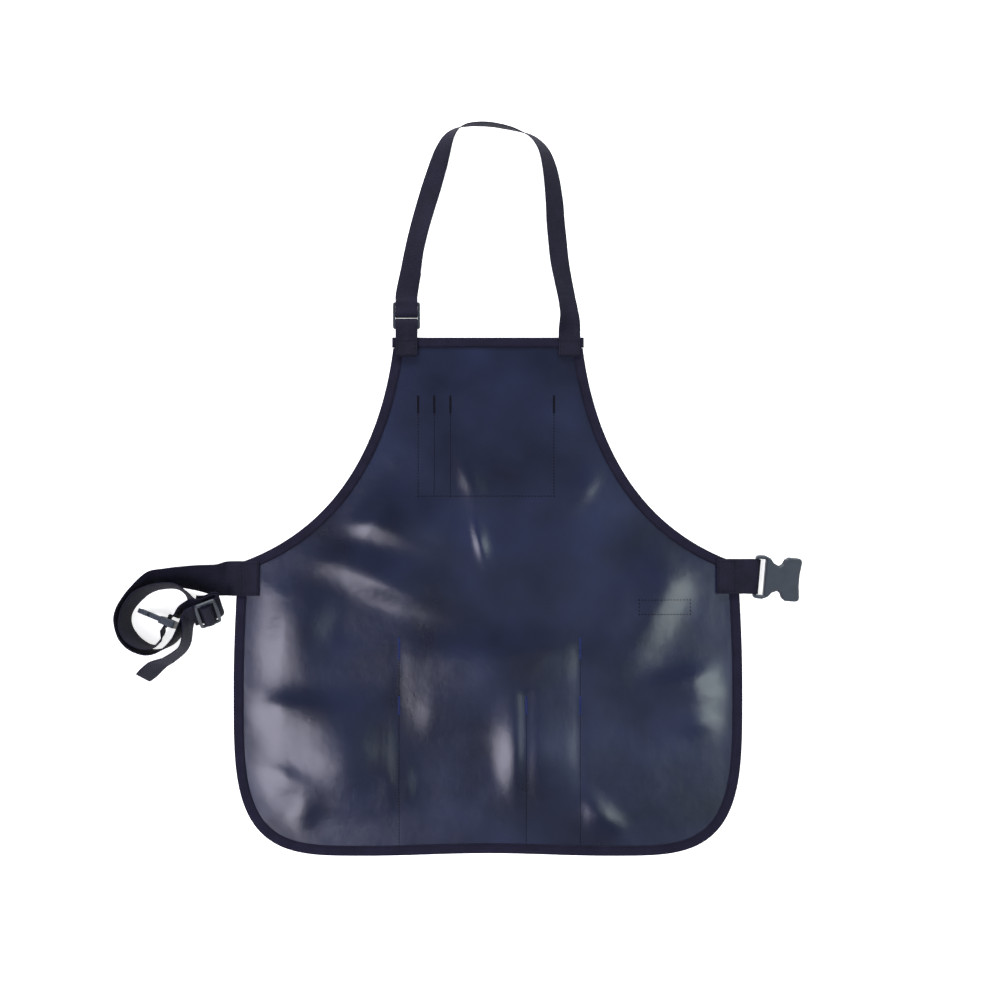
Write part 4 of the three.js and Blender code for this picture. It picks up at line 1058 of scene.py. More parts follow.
class WaistBelt:
    """The waist strap's coils through the slider and prong buckle, and the socket's loop."""

    def __init__(self, maker: MeshMaker) -> None:
        """Places the slider and the prong buckle."""
        self.webbing = Webbing(maker, STRAPS.waist_width)
        x, y, lift, heading, lean, roll = SLIDER_SEAT
        across = leaning(heading, lean)
        level = leaning(heading - 90, 0)
        rolled = math.radians(roll)
        along = level * math.cos(rolled) + np.cross(across, level) * math.sin(rolled)
        self.slider = self._frame(across, along, self._point(x, y, lift * STRAPS.waist_width))
        x, y, heading, lean, pointing = MALE_SEAT
        clear = 0.5
        lift = math.sin(math.radians(lean)) * STRAPS.buckle_width / 2 + clear
        self.male = self._frame(leaning(heading, lean), leaning(pointing, 0), self._point(x, y, lift))

    @staticmethod
    def _point(x: float, y: float, z: float) -> np.ndarray:
        """A point given in shares of the strap's reach from the waist's left corner."""
        return np.array([x * STRAPS.waist_reach - SIZES.half_waist, y * STRAPS.waist_reach, z])

    @staticmethod
    def _frame(across: np.ndarray, along: np.ndarray, origin: np.ndarray) -> np.ndarray:
        """A frame with X along the webbing, Y across it, Z out of its face and its origin."""
        y = across / np.linalg.norm(across)
        x = along - y * along.dot(y)
        x /= np.linalg.norm(x)
        return np.column_stack([x, y, np.cross(x, y), origin])

    @staticmethod
    def _through(
        seat: np.ndarray, size: tuple[float, float], rows: tuple[tuple[float, float], ...]
    ) -> list[Place]:
        """Places in a hard part's frame, from shares of its size along it and above it."""
        return [
            Place(seat[:, 0] * (a * size[0]) + seat[:, 2] * (b * size[1]) + seat[:, 3], seat[:, 1])
            for a, b in rows
        ]

    def _laid(self, rows: tuple[tuple[float, ...], ...]) -> list[Place]:
        """Places of the strap where it stands on the ground."""
        places = []
        for x, y, heading, lean, lift in rows:
            z = (math.sin(math.radians(lean)) / 2 + lift) * STRAPS.waist_width
            middle = self._point(x, y, z + STRAPS.wall / 2 + SIZES.gap / 2)
            places.append(Place(middle, leaning(heading, lean)))
        return places

    def strap(self) -> bpy.types.Object:
        """Makes the strap, from its sewn end through the hardware to its free tip."""
        slider = (STRAPS.slider_length / 2, STRAPS.slider_thickness / 2 + SIZES.gap + STRAPS.wall)
        male = (STRAPS.male_length, STRAPS.male_thickness)
        sewn = [
            (-SIZES.half_waist - out, -STRAPS.waist_drop, WAIST_PATCH)
            for out in (-STRAPS.waist_patch, -2, 4.5)
        ]
        return self.webbing.make("waist_webbing", [
            *flat_places(sewn, FLAT_WAIST),
            *self._laid(OUTER_TURN),
            *self._through(self.slider, slider, FIRST_PASS),
            *self._laid(ARCH),
            *self._through(self.male, male, SLOT_PASS),
            *self._laid(INNER_TURN),
            *self._through(self.slider, slider, SECOND_PASS),
            *self._laid(TAIL),
        ])

    def loop(self) -> bpy.types.Object:
        """Makes the doubled loop that holds the socket buckle to the waist."""
        turn = bar_turn(STRAPS.female_bar / 2)
        angle = math.radians(STRAPS.female_turn)
        along = np.array([math.cos(angle), math.sin(angle), 0])
        across = np.array([-math.sin(angle), math.cos(angle), 0])
        edge, y, high = SIZES.half_waist, -STRAPS.loop_drop, WAIST_PATCH + LAYER
        seat = np.array([edge + STRAPS.female_reach, y, STRAPS.female_thickness / 2])
        bar = seat + along * STRAPS.female_bar / 2
        turned = [
            Place(bar + along * a * turn + np.array([0, 0, b * turn]), across)
            for a, b in reversed(HALF_TURN)
        ]
        upper = [(edge + out, y, high) for out in (-STRAPS.waist_patch, -4, 2)]
        lower = [
            (edge + 3, y, WAIST_PATCH - 0.3),
            (edge - 4, y, WAIST_PATCH),
            (edge - STRAPS.waist_patch * 0.85, y, WAIST_PATCH),
        ]
        places = [*flat_places(upper, FLAT_WAIST), *turned, *flat_places(lower, FLAT_WAIST)]
        return self.webbing.make("waist_loop_webbing", places)


class StitchTree:
    """A Geometry Nodes tree that lays thread stitches along the edges of a mesh."""

    values = {
        "Pitch": "NodeSocketFloat",
        "Length": "NodeSocketFloat",
        "Thickness": "NodeSocketFloat",
        "Thread": "NodeSocketMaterial",
    }
    bead = {"Segments": 6, "Rings": 5, "Radius": 0.5}

    def __init__(self) -> None:
        """Builds the tree once."""
        tree = bpy.data.node_groups.new("stitch_run", "GeometryNodeTree")
        interface = tree.interface
        interface.new_socket("Geometry", in_out="INPUT", socket_type="NodeSocketGeometry")
        self.inputs: dict[str, str] = {}
        for name, kind in self.values.items():
            self.inputs[name] = interface.new_socket(name, in_out="INPUT", socket_type=kind).identifier
        interface.new_socket("Geometry", in_out="OUTPUT", socket_type="NodeSocketGeometry")
        nodes, links = tree.nodes, tree.links
        given = nodes.new("NodeGroupInput")
        result = nodes.new("NodeGroupOutput")
        curve = nodes.new("GeometryNodeMeshToCurve")
        spots = nodes.new("GeometryNodeCurveToPoints")
        spots.mode = "LENGTH"
        bead = nodes.new("GeometryNodeMeshUVSphere")
        for name, value in self.bead.items():
            bead.inputs[name].default_value = value
        size = nodes.new("ShaderNodeCombineXYZ")
        shape = nodes.new("GeometryNodeTransform")
        place = nodes.new("GeometryNodeInstanceOnPoints")
        realize = nodes.new("GeometryNodeRealizeInstances")
        thread = nodes.new("GeometryNodeSetMaterial")
        for source, output, target, entry in (
            (given, "Geometry", curve, "Mesh"),
            (curve, "Curve", spots, "Curve"),
            (given, "Pitch", spots, "Length"),
            (given, "Thickness", size, "X"),
            (given, "Thickness", size, "Y"),
            (given, "Length", size, "Z"),
            (bead, "Mesh", shape, "Geometry"),
            (size, "Vector", shape, "Scale"),
            (spots, "Points", place, "Points"),
            (shape, "Geometry", place, "Instance"),
            (spots, "Rotation", place, "Rotation"),
            (place, "Instances", realize, "Geometry"),
            (realize, "Geometry", thread, "Geometry"),
            (given, "Thread", thread, "Material"),
            (thread, "Geometry", result, "Geometry"),
        ):
            links.new(source.outputs[output], target.inputs[entry])
        self.tree = tree


@dataclass(frozen=True)
class Thread:
    """A sewing thread and its stitch, in millimetres."""

    pitch: float = 3.4
    length: float = 2.7
    thickness: float = 0.55


EDGE_THREAD = Thread()
SEAM_THREAD = Thread(pitch=3.6, length=2.5, thickness=1.05)
TACK_STITCH = Thread(pitch=1.0, length=0.95, thickness=1.9)
# How far the stitches lie above their cloth, and how far a tack is pressed into it.
THREAD_LIFT = 0.02
TACK_SINK = 0.1
# How far stitches keep from a tape's inner edge, and from the sides and ends of a sewn webbing.
TAPE_MARGIN = 1.7
NECK_MARGIN = 5.0
PATCH_MARGIN = 6.0
# Each tack is two columns of stitches, this far to each side of its middle.
TACK_HALF = 0.55
# The small stitched rectangle below the waist at the right: its middle, width and height.
SMALL_BOX = (202.7, -50.3, 59.0, 16.5)
# Bar tacks at the mouths of the pockets: x, the foot's y and the length.
BIB_TACKS = ((-80.2, 172.5, 19.5), (-61.7, 172.5, 19.5), (-43.2, 172.5, 19.5), (75.8, 172.5, 19.5))
SKIRT_TACKS = (
    (-102.0, -110.0, 24.0), (106.0, -110.0, 24.0),
    (-102.0, -173.5, 20.5), (44.0, -173.5, 20.5), (106.0, -173.5, 20.5),
)


class Stitching:
    """Rows of stitches on the cloth, tape and webbing."""

    def __init__(self, maker: MeshMaker, cloth: LaidCloth, tree: StitchTree) -> None:
        """Keeps the mesh maker, the cloth's surface and the stitch tree."""
        self.maker = maker
        self.cloth = cloth
        self.tree = tree

    def sew(
        self, name: str, runs: list[np.ndarray], thread: Thread, material: bpy.types.Material
    ) -> bpy.types.Object:
        """Lays stitches along runs of points.

        Args:
            name: the object's name.
            runs: each run's points in millimetres.
            thread: the stitch's sizes.
            material: the thread's finish.

        Returns:
            The stitches as one plain mesh.
        """
        points = np.concatenate(runs)
        edges, start = [], 0
        for run in runs:
            edges += [(start + k, start + k + 1) for k in range(len(run) - 1)]
            start += len(run)
        mesh = bpy.data.meshes.new(name + "_line")
        mesh.from_pydata(self.maker.place(points).tolist(), edges, [])
        line = linked(name + "_line", mesh)
        modifier = line.modifiers.new("stitches", "NODES")
        modifier.node_group = self.tree.tree
        modifier[self.tree.inputs["Pitch"]] = thread.pitch * MM
        modifier[self.tree.inputs["Length"]] = thread.length * MM
        modifier[self.tree.inputs["Thickness"]] = thread.thickness * MM
        modifier[self.tree.inputs["Thread"]] = material
        graph = bpy.context.evaluated_depsgraph_get()
        plain = bpy.data.meshes.new_from_object(line.evaluated_get(graph))
        bpy.data.objects.remove(line)
        plain.name = name
        if not plain.materials:
            plain.materials.append(material)
        plain.polygons.foreach_set("use_smooth", [True] * len(plain.polygons))
        return linked(name, plain)

    def on_cloth(self, x: np.ndarray, y: np.ndarray, above: float) -> np.ndarray:
        """Points at a height above the cloth's underside."""
        return self.cloth.laid(x, y, self.cloth.under(x, y) + above)

    def straight(self, x0: float, y0: float, x1: float, y1: float, above: float) -> np.ndarray:
        """A straight run of points over the cloth."""
        count = max(2, round(math.hypot(x1 - x0, y1 - y0) / DETAIL.seam_step))
        share = np.linspace(0, 1, count)
        return self.on_cloth(x0 + share * (x1 - x0), y0 + share * (y1 - y0), above)

    def tape_rows(self, paths: list[np.ndarray]) -> list[np.ndarray]:
        """Runs along the inner edge of the tapes."""
        above = SIZES.wall + SIZES.gap + SIZES.tape_wall + THREAD_LIFT
        inset = SIZES.tape_width - TAPE_MARGIN
        runs = []
        for path in paths:
            x = path[:, 0] - inset * path[:, 2]
            y = path[:, 1] - inset * path[:, 3]
            runs.append(self.on_cloth(x, y, above))
        return runs

    def pocket_rows(self) -> list[np.ndarray]:
        """Runs where the pockets are sewn on."""
        above = SIZES.wall + THREAD_LIFT
        return [self.straight(*seam, above) for seam in self.cloth.seams]

    def box_rows(self, x: float, y: float, width: float, height: float, above: float) -> list[np.ndarray]:
        """Runs round a rectangle that lies above the cloth's underside."""
        left, right, low, high = x - width / 2, x + width / 2, y - height / 2, y + height / 2
        corners = [(left, low), (right, low), (right, high), (left, high)]
        return [
            self.straight(*start, *end, above)
            for start, end in zip(corners, corners[1:] + corners[:1])
        ]

    def patch_rows(self) -> list[np.ndarray]:
        """Runs round the sewn ends of the webbing."""
        single = TAPE_TOP + STRAPS.wall + THREAD_LIFT
        double = single + LAYER
        inward = 1
        neck = LOCK.side * STRAPS.neck_loop
        bib_y = SIZES.armhole_depth - STRAPS.neck_patch / 2 - inward
        neck_box = (STRAPS.neck_width - NECK_MARGIN, STRAPS.neck_patch - PATCH_MARGIN)
        waist = SIZES.half_waist - STRAPS.waist_patch / 2 - inward
        waist_box = (STRAPS.waist_patch - PATCH_MARGIN, STRAPS.waist_width - PATCH_MARGIN)
        return [
            *self.box_rows(-neck, bib_y, *neck_box, double),
            *self.box_rows(neck, bib_y, *neck_box, single),
            *self.box_rows(-waist, -STRAPS.waist_drop, *waist_box, single),
            *self.box_rows(waist, -STRAPS.loop_drop, *waist_box, double),
        ]

    def tack_rows(self, spots: tuple[tuple[float, float, float], ...]) -> list[np.ndarray]:
        """Two close columns for each bar tack.

        Args:
            spots: each tack's x, its foot's y and its length.
        """
        return [
            self.straight(column, y, column, y + length, SIZES.wall - TACK_SINK)
            for x, y, length in spots
            for column in (x - TACK_HALF, x + TACK_HALF)
        ]


@dataclass(frozen=True)
class Bump:
    """How strongly a relief shows, and its height in metres."""

    strength: float
    distance: float


class Sockets:
    """Short ways to make and join shader nodes."""

    # The Mix node's colour sockets: its factor, A and B, and its result.
    mix_inputs = (0, 6, 7)
    mix_output = 2

    def __init__(self, tree: bpy.types.NodeTree) -> None:
        """Keeps the tree."""
        self.tree = tree

    def put(self, socket: bpy.types.NodeSocket, value: object) -> None:
        """Links an input to another socket, or gives it a value."""
        if isinstance(value, bpy.types.NodeSocket):
            self.tree.links.new(value, socket)
        else:
            socket.default_value = value

    def node(self, kind: str, values: dict | None = None, **settings: object) -> bpy.types.Node:
        """Makes a node with its settings and its inputs' values or links."""
        node = self.tree.nodes.new(kind)
        for key, value in settings.items():
            setattr(node, key, value)
        for key, value in (values or {}).items():
            self.put(node.inputs[key], value)
        return node

    def group(self, tree: bpy.types.NodeTree, values: dict) -> bpy.types.Node:
        """A shared group's node with its inputs' values or links."""
        node = self.node("ShaderNodeGroup", node_tree=tree)
        for key, value in values.items():
            self.put(node.inputs[key], value)
        return node

    def bump(
        self, height: bpy.types.NodeSocket, bump: Bump, normal: bpy.types.NodeSocket | None = None
    ) -> bpy.types.NodeSocket:
        """The normal of a relief, over another normal if one is given."""
        values = {"Height": height, "Strength": bump.strength, "Distance": bump.distance}
        if normal is not None:
            values["Normal"] = normal
        return self.node("ShaderNodeBump", values).outputs["Normal"]

    def math(self, operation: str, a: object, b: object = 0.0) -> bpy.types.NodeSocket:
        """A Math node's value."""
        return self.node("ShaderNodeMath", {0: a, 1: b}, operation=operation).outputs[0]

    def mix(self, factor: object, a: object, b: object) -> bpy.types.NodeSocket:
        """A colour mix of a and b."""
        node = self.tree.nodes.new("ShaderNodeMix")
        node.data_type = "RGBA"
        for index, value in zip(self.mix_inputs, (factor, a, b)):
            self.put(node.inputs[index], value)
        return node.outputs[self.mix_output]


def new_group(
    name: str, inputs: dict[str, tuple[str, float | None]], outputs: dict[str, str]
) -> tuple[bpy.types.NodeTree, Sockets, bpy.types.Node, bpy.types.Node]:
    """Starts a shader node group.

    Args:
        name: the group's name.
        inputs: the socket type and first value of each input, by name.
        outputs: the socket type of each output, by name.

    Returns:
        The tree, its node maker, its input node and its output node.
    """
    tree = bpy.data.node_groups.new(name, "ShaderNodeTree")
    for key, (kind, value) in inputs.items():
        socket = tree.interface.new_socket(key, in_out="INPUT", socket_type=kind)
        if value is not None:
            socket.default_value = value
    for key, kind in outputs.items():
        tree.interface.new_socket(key, in_out="OUTPUT", socket_type=kind)
    return tree, Sockets(tree), tree.nodes.new("NodeGroupInput"), tree.nodes.new("NodeGroupOutput")


class Effects:
    """Shader groups that several finishes share."""

    def __init__(self) -> None:
        """Builds each group once."""
        self.weave = self._weave()
        self.mottle = self._mottle()

    @staticmethod
    def _weave() -> bpy.types.NodeTree:
        """A plain weave's height from two crossed waves."""
        tree, s, given, result = new_group(
            "plain_weave",
            {
                "Vector": ("NodeSocketVector", None),
                "Across": ("NodeSocketFloat", 1000.0),
                "Along": ("NodeSocketFloat", 1000.0),
            },
            {"Height": "NodeSocketFloat"},
        )
        split = s.node("ShaderNodeSeparateXYZ", {0: given.outputs["Vector"]})
        u = s.math("MULTIPLY", split.outputs["X"], given.outputs["Across"])
        v = s.math("MULTIPLY", split.outputs["Y"], given.outputs["Along"])
        warp = s.math("ABSOLUTE", s.math("SINE", u))
        weft = s.math("ABSOLUTE", s.math("SINE", v))
        turn = s.math("MULTIPLY", s.math("SINE", u), s.math("SINE", v))
        over = s.math("GREATER_THAN", turn, 0.0)
        under = s.math("SUBTRACT", 1.0, over)
        height = s.math("ADD", s.math("MULTIPLY", warp, over), s.math("MULTIPLY", weft, under))
        tree.links.new(height, result.inputs["Height"])
        return tree

    @staticmethod
    def _mottle() -> bpy.types.NodeTree:
        """Soft uneven patches, from -1 to 1."""
        tree, s, given, result = new_group(
            "soft_mottle",
            {
                "Vector": ("NodeSocketVector", None),
                "Scale": ("NodeSocketFloat", 20.0),
                "Detail": ("NodeSocketFloat", 3.0),
            },
            {"Amount": "NodeSocketFloat"},
        )
        noise = s.node("ShaderNodeTexNoise", {
            name: given.outputs[name] for name in ("Vector", "Scale", "Detail")
        })
        amount = s.math("MULTIPLY", s.math("SUBTRACT", noise.outputs["Fac"], 0.5), 2.0)
        tree.links.new(amount, result.inputs["Amount"])
        return tree


class Pattern(Enum):
    """The small relief of a material."""

    COATED = "coated"
    TWILL = "twill"
    WEBBING = "webbing"
    MOULDED = "moulded"
    THREAD = "thread"


@dataclass(frozen=True)
class Finish:
    """The look of one material.

    Args:
        name: the material's name.
        pattern: its small relief.
        deep, pale: its darkest and lightest patches.
        roughness, roughness_swing: its gloss and how far that changes over the patches.
        specular: how strongly it mirrors.
        mottle_scale: how small the patches are.
    """

    name: str
    pattern: Pattern
    deep: tuple[float, float, float]
    pale: tuple[float, float, float]
    roughness: float
    roughness_swing: float
    specular: float
    mottle_scale: float


CLOTH = Finish(
    name="coated_cloth", pattern=Pattern.COATED,
    deep=(0.0014, 0.0021, 0.0078), pale=(0.0096, 0.0146, 0.0450),
    roughness=0.29, roughness_swing=0.05, specular=0.56, mottle_scale=9.0,
)
TAPE = Finish(
    name="woven_tape", pattern=Pattern.TWILL,
    deep=(0.0078, 0.0070, 0.0180), pale=(0.0135, 0.0120, 0.0285),
    roughness=0.8, roughness_swing=0.06, specular=0.10, mottle_scale=60.0,
)
WEBBING = Finish(
    name="woven_webbing", pattern=Pattern.WEBBING,
    deep=(0.0064, 0.0060, 0.0142), pale=(0.0122, 0.0116, 0.0262),
    roughness=0.75, roughness_swing=0.08, specular=0.12, mottle_scale=60.0,
)
PLASTIC = Finish(
    name="moulded_plastic", pattern=Pattern.MOULDED,
    deep=(0.0170, 0.0215, 0.0310), pale=(0.0240, 0.0300, 0.0420),
    roughness=0.46, roughness_swing=0.06, specular=0.32, mottle_scale=90.0,
)
THREAD = Finish(
    name="sewing_thread", pattern=Pattern.THREAD,
    deep=(0.0015, 0.0015, 0.0035), pale=(0.0040, 0.0040, 0.0085),
    roughness=0.7, roughness_swing=0.05, specular=0.1, mottle_scale=200.0,
)
TACK_THREAD = Finish(
    name="tack_thread", pattern=Pattern.THREAD,
    deep=(0.0030, 0.0090, 0.0700), pale=(0.0060, 0.0180, 0.1100),
    roughness=0.6, roughness_swing=0.05, specular=0.3, mottle_scale=200.0,
)
# How far the patches move between the deep and the pale colour, and where they stand at rest.
MOTTLE_REACH, MOTTLE_MIDDLE = 0.9, 0.5
# The cloth's crumple, the coating's grain over its weave, the woven tapes and the moulded grain.
CRUMPLE = {"Scale": 34.0, "Detail": 4.0, "Roughness": 0.5}
CRUMPLE_BUMP = Bump(0.15, 0.004)
COATING_BUMP = Bump(0.10, 0.0002)
WOVEN_BUMP = Bump(0.6, 0.0004)
GRAIN = {"Scale": 900.0, "Detail": 2.0}
GRAIN_BUMP = Bump(0.15, 0.0002)
# The turns of each weave in a metre, in radians, across and along.
WEAVES = {
    Pattern.COATED: (2400.0, 2400.0),
    Pattern.TWILL: (2600.0, 2600.0),
    Pattern.WEBBING: (1500.0, 2100.0),
}
# How much of a weave's hollows is darkened as painted shade, and how dark that painted shade makes its
# thread's colour there.
HOLLOW_SHADE_SHARE, HOLLOW_SHADE_DEPTH = 0.55, 0.35


class Finishes:
    """Makes the procedural materials."""

    def __init__(self, effects: Effects) -> None:
        """Keeps the shared groups."""
        self.effects = effects

    def make(self, finish: Finish) -> bpy.types.Material:
        """Builds one material from its finish."""
        material = bpy.data.materials.new(finish.name)
        material.use_nodes = True
        tree = material.node_tree
        tree.nodes.clear()
        s = Sockets(tree)
        output = tree.nodes.new("ShaderNodeOutputMaterial")
        shader = s.node("ShaderNodeBsdfPrincipled", {"Specular IOR Level": finish.specular})
        tree.links.new(shader.outputs[0], output.inputs["Surface"])
        place = s.node("ShaderNodeTexCoord")
        solid, surface = place.outputs["Object"], place.outputs["UV"]
        mottle = s.group(self.effects.mottle, {"Vector": solid, "Scale": finish.mottle_scale})
        amount = mottle.outputs["Amount"]
        share = s.math("ADD", s.math("MULTIPLY", amount, MOTTLE_REACH), MOTTLE_MIDDLE)
        colour = s.mix(share, (*finish.deep, 1), (*finish.pale, 1))
        rough = s.math("ADD", s.math("MULTIPLY", amount, finish.roughness_swing), finish.roughness)
        tree.links.new(rough, shader.inputs["Roughness"])
        normal, colour = self._relief(s, finish, solid, surface, colour)
        tree.links.new(colour, shader.inputs["Base Color"])
        if normal is not None:
            tree.links.new(normal, shader.inputs["Normal"])
        return material

    def _relief(
        self,
        s: Sockets,
        finish: Finish,
        solid: bpy.types.NodeSocket,
        surface: bpy.types.NodeSocket,
        colour: bpy.types.NodeSocket,
    ) -> tuple[bpy.types.NodeSocket | None, bpy.types.NodeSocket]:
        """Adds a finish's small relief.

        Args:
            s: the material's node maker.
            finish: whose pattern is made.
            solid: the place in the object's own space.
            surface: the place on the surface.
            colour: the colour without the relief.

        Returns:
            The normal, or None for a plain surface, and the colour that goes with it; a weave's
            colour carries painted shade in its hollows.
        """
        if finish.pattern is Pattern.COATED:
            crumple = s.node("ShaderNodeTexNoise", {"Vector": solid, **CRUMPLE})
            broad = s.bump(crumple.outputs["Fac"], CRUMPLE_BUMP)
            return s.bump(self._woven(s, finish, surface), COATING_BUMP, broad), colour
        if finish.pattern in WEAVES:
            weave = self._woven(s, finish, surface)
            # Painted shade: the weave's hollows are darkened, standing in for the shade between its
            # threads.
            hollow_shade = s.math("MULTIPLY", s.math("SUBTRACT", 1.0, weave), HOLLOW_SHADE_SHARE)
            dark = (*(c * HOLLOW_SHADE_DEPTH for c in finish.deep), 1)
            return s.bump(weave, WOVEN_BUMP), s.mix(hollow_shade, colour, dark)
        if finish.pattern is Pattern.MOULDED:
            grain = s.node("ShaderNodeTexNoise", {"Vector": solid, **GRAIN})
            return s.bump(grain.outputs["Fac"], GRAIN_BUMP), colour
        return None, colour

    def _woven(self, s: Sockets, finish: Finish, surface: bpy.types.NodeSocket) -> bpy.types.NodeSocket:
        """The height of a finish's weave on the surface's own coordinates."""
        across, along = WEAVES[finish.pattern]
        values = {"Vector": surface, "Across": across, "Along": along}
        return s.group(self.effects.weave, values).outputs["Height"]


@dataclass(frozen=True)
class Lamp:
    """A soft area light: its place from the camera's axis and its size in metres, power and colour."""

    name: str
    where: tuple[float, float, float]
    size: tuple[float, float]
    power: float
    colour: tuple[float, float, float] = (1.0, 1.0, 1.0)


LAMPS = (
    Lamp("left_light", (-1.45, -0.85, 2.0), (1.5, 1.5), 62, (0.88, 0.85, 1.0)),
    Lamp("right_light", (1.6, -0.40, 2.0), (1.3, 1.4), 38, (0.88, 1.0, 0.96)),
    Lamp("far_light", (-0.2, 2.5, 1.0), (2.8, 0.7), 125),
    Lamp("near_light", (0.3, -2.7, 1.1), (2.8, 0.7), 20),
)
ROOM_GLOW = {"Color": (0.95, 0.97, 1.0, 1), "Strength": 0.10}
FLOOR_FINISH = {
    "Base Color": (0.86, 0.86, 0.87, 1),
    "Roughness": 0.9,
    "Specular IOR Level": 0.1,
    "Emission Color": (1, 1, 1, 1),
    "Emission Strength": 0.8,
}


class Studio:
    """The pale floor, the soft lights and the camera straight above, in metres."""

    camera_height = 2.0
    frame_width = 1.13275
    sensor_width = 36.0
    view_end = 50
    floor_reach = 3.0
    floor_drop = 0.0002
    aim_below = 0.1
    # The photograph's middle, in millimetres from the waist's middle.
    photo_middle = (5.2, 81.65, 0.0)

    def __init__(self, maker: MeshMaker) -> None:
        """Places the camera's axis over the photograph's middle."""
        self.axis = maker.place(np.array(self.photo_middle))

    def floor(self) -> None:
        """Makes the floor."""
        mesh = bpy.data.meshes.new("floor")
        corners = [
            (x * self.floor_reach, y * self.floor_reach, -self.floor_drop)
            for x, y in ((-1, -1), (1, -1), (1, 1), (-1, 1))
        ]
        mesh.from_pydata(corners, [], [(0, 1, 2, 3)])
        material = bpy.data.materials.new("pale_floor")
        material.use_nodes = True
        shader = material.node_tree.nodes["Principled BSDF"]
        for name, value in FLOOR_FINISH.items():
            shader.inputs[name].default_value = value
        mesh.materials.append(material)
        linked("floor", mesh)

    def light(self, lamp: Lamp) -> None:
        """Adds a light that faces the apron."""
        area = bpy.data.lights.new(lamp.name, "AREA")
        area.shape = "RECTANGLE"
        area.size, area.size_y = lamp.size
        area.energy = lamp.power
        area.color = lamp.colour
        held = linked(lamp.name, area)
        x, y, z = lamp.where
        held.location = Vector((self.axis[0] + x, self.axis[1] + y, z))
        aim = Vector((self.axis[0], self.axis[1] - self.aim_below, 0)) - held.location
        held.rotation_euler = aim.to_track_quat("-Z", "Y").to_euler()

    def lights(self) -> None:
        """Adds the lights and the room's even glow."""
        for lamp in LAMPS:
            self.light(lamp)
        world = bpy.data.worlds.new("room")
        world.use_nodes = True
        back = world.node_tree.nodes["Background"]
        for name, value in ROOM_GLOW.items():
            back.inputs[name].default_value = value
        bpy.context.scene.world = world
        bpy.context.scene.view_settings.view_transform = "Standard"

    def camera(self) -> None:
        """Adds the camera at the photograph's place."""
        lens = bpy.data.cameras.new("camera")
        lens.sensor_width = self.sensor_width
        lens.sensor_fit = "HORIZONTAL"
        lens.lens = lens.sensor_width * self.camera_height / self.frame_width
        lens.clip_end = self.view_end
        eye = linked("camera", lens)
        eye.location = (self.axis[0], self.axis[1], self.camera_height)
        bpy.context.scene.camera = eye


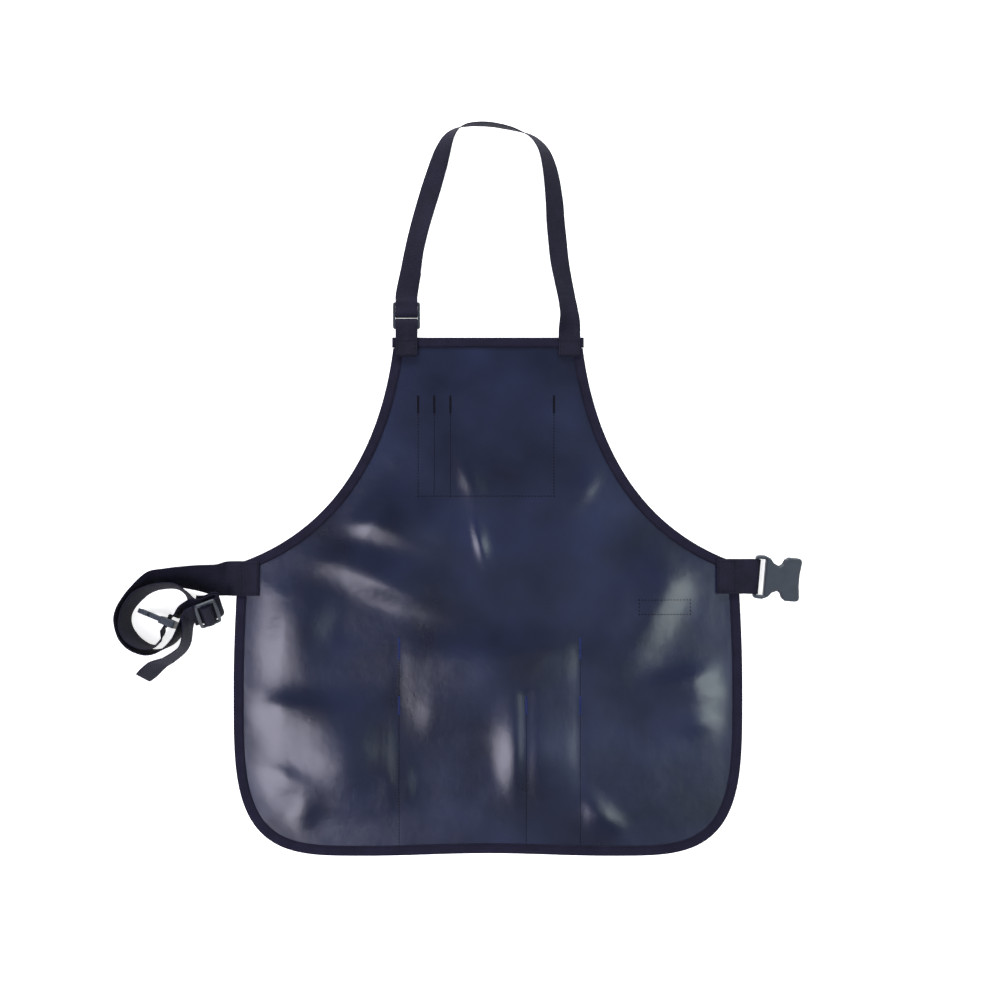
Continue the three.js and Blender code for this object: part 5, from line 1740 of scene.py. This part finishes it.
class Apron:
    """The whole apron: builds its pieces in order and hands each to the frame."""

    # The moulded parts' softened edges, in metres and degrees.
    weld_distance = 0.00001
    bevel_width = 0.0004
    bevel_segments = 2
    bevel_from = 28

    def __init__(self) -> None:
        """Makes the tools and finishes that the pieces share."""
        self.maker = MeshMaker()
        self.outline = ApronOutline()
        self.cloth = LaidCloth(self.outline)
        self.body = SewnBody(self.maker, self.cloth)
        self.stitching = Stitching(self.maker, self.cloth, StitchTree())
        finishes = Finishes(Effects())
        self.cloth_finish = finishes.make(CLOTH)
        self.tape_finish = finishes.make(TAPE)
        self.webbing_finish = finishes.make(WEBBING)
        self.plastic_finish = finishes.make(PLASTIC)
        self.thread_finish = finishes.make(THREAD)
        self.tack_finish = finishes.make(TACK_THREAD)

    @staticmethod
    def keep(piece: bpy.types.Object, node: str | None, slot: str, finish: bpy.types.Material) -> None:
        """Dresses a piece and hands it to the frame."""
        if not piece.data.materials:
            piece.data.materials.append(finish)
        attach(piece, "root")
        if node:
            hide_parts(node)
        log.info("%s: %d faces", piece.name, len(piece.data.polygons))

    def sew_body(self) -> None:
        """Builds the cloth, its pockets and its tapes."""
        panel = self.body.panel()
        self.keep(panel, "apron_panel", "cloth", self.cloth_finish)
        tapes = self.body.tapes()
        for node, tape in tapes.items():
            self.keep(tape, node, "tape", self.tape_finish)
        pockets = self.body.pockets()
        for node, pocket in pockets.items():
            self.keep(pocket, node, "cloth", self.cloth_finish)

    def fit_webbing(self) -> None:
        """Builds the straps and loops."""
        neck = NeckLoop(self.maker)
        belt = WaistBelt(self.maker)
        for node, piece in (
            ("neck_strap", neck.strap()), ("neck_buckle_loop", neck.loop()),
            ("waist_strap", belt.strap()), ("waist_buckle_loop", belt.loop()),
        ):
            self.keep(piece, node, "webbing", self.webbing_finish)

    def fit_hardware(self) -> None:
        """Gives the moulded parts their finish and softened edges."""
        for node in ("ladder_lock", "slider", "male_buckle", "female_buckle"):
            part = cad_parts[node]
            part.data.materials.clear()
            part.data.materials.append(self.plastic_finish)
            merge = part.modifiers.new("merge", "WELD")
            merge.merge_threshold = self.weld_distance
            bevel = part.modifiers.new("soft_edges", "BEVEL")
            bevel.width = self.bevel_width
            bevel.segments = self.bevel_segments
            bevel.limit_method = "ANGLE"
            bevel.angle_limit = math.radians(self.bevel_from)
            log.info("%s dressed", node)

    def stitch(self) -> None:
        """Sews the tape, pockets, patches and tacks."""
        sewing = self.stitching
        shortened = 1
        bib = self.body.bib_path(shortened, DETAIL.bib_stitches)
        right = self.body.armhole_path()
        edges = sewing.tape_rows([bib, right, right * MIRROR, self.body.hem_path()])
        seams = sewing.pocket_rows() + sewing.box_rows(*SMALL_BOX, SIZES.wall)
        for name, rows, thread, finish in (
            ("tape_stitches", edges, EDGE_THREAD, self.thread_finish),
            ("pocket_stitches", seams, SEAM_THREAD, self.thread_finish),
            ("patch_stitches", sewing.patch_rows(), EDGE_THREAD, self.thread_finish),
            ("bib_tacks", sewing.tack_rows(BIB_TACKS), TACK_STITCH, self.thread_finish),
            ("skirt_tacks", sewing.tack_rows(SKIRT_TACKS), TACK_STITCH, self.tack_finish),
        ):
            self.keep(sewing.sew(name, rows, thread, finish), None, "tape", finish)

    def finish(self) -> None:
        """Builds everything."""
        self.sew_body()
        self.fit_webbing()
        self.fit_hardware()
        self.stitch()
        studio = Studio(self.maker)
        studio.floor()
        studio.lights()
        studio.camera()


def main() -> None:
    """Builds the apron."""
    logging.basicConfig(level=logging.INFO, format="%(message)s")
    Apron().finish()


if __name__ == "__main__":
    main()
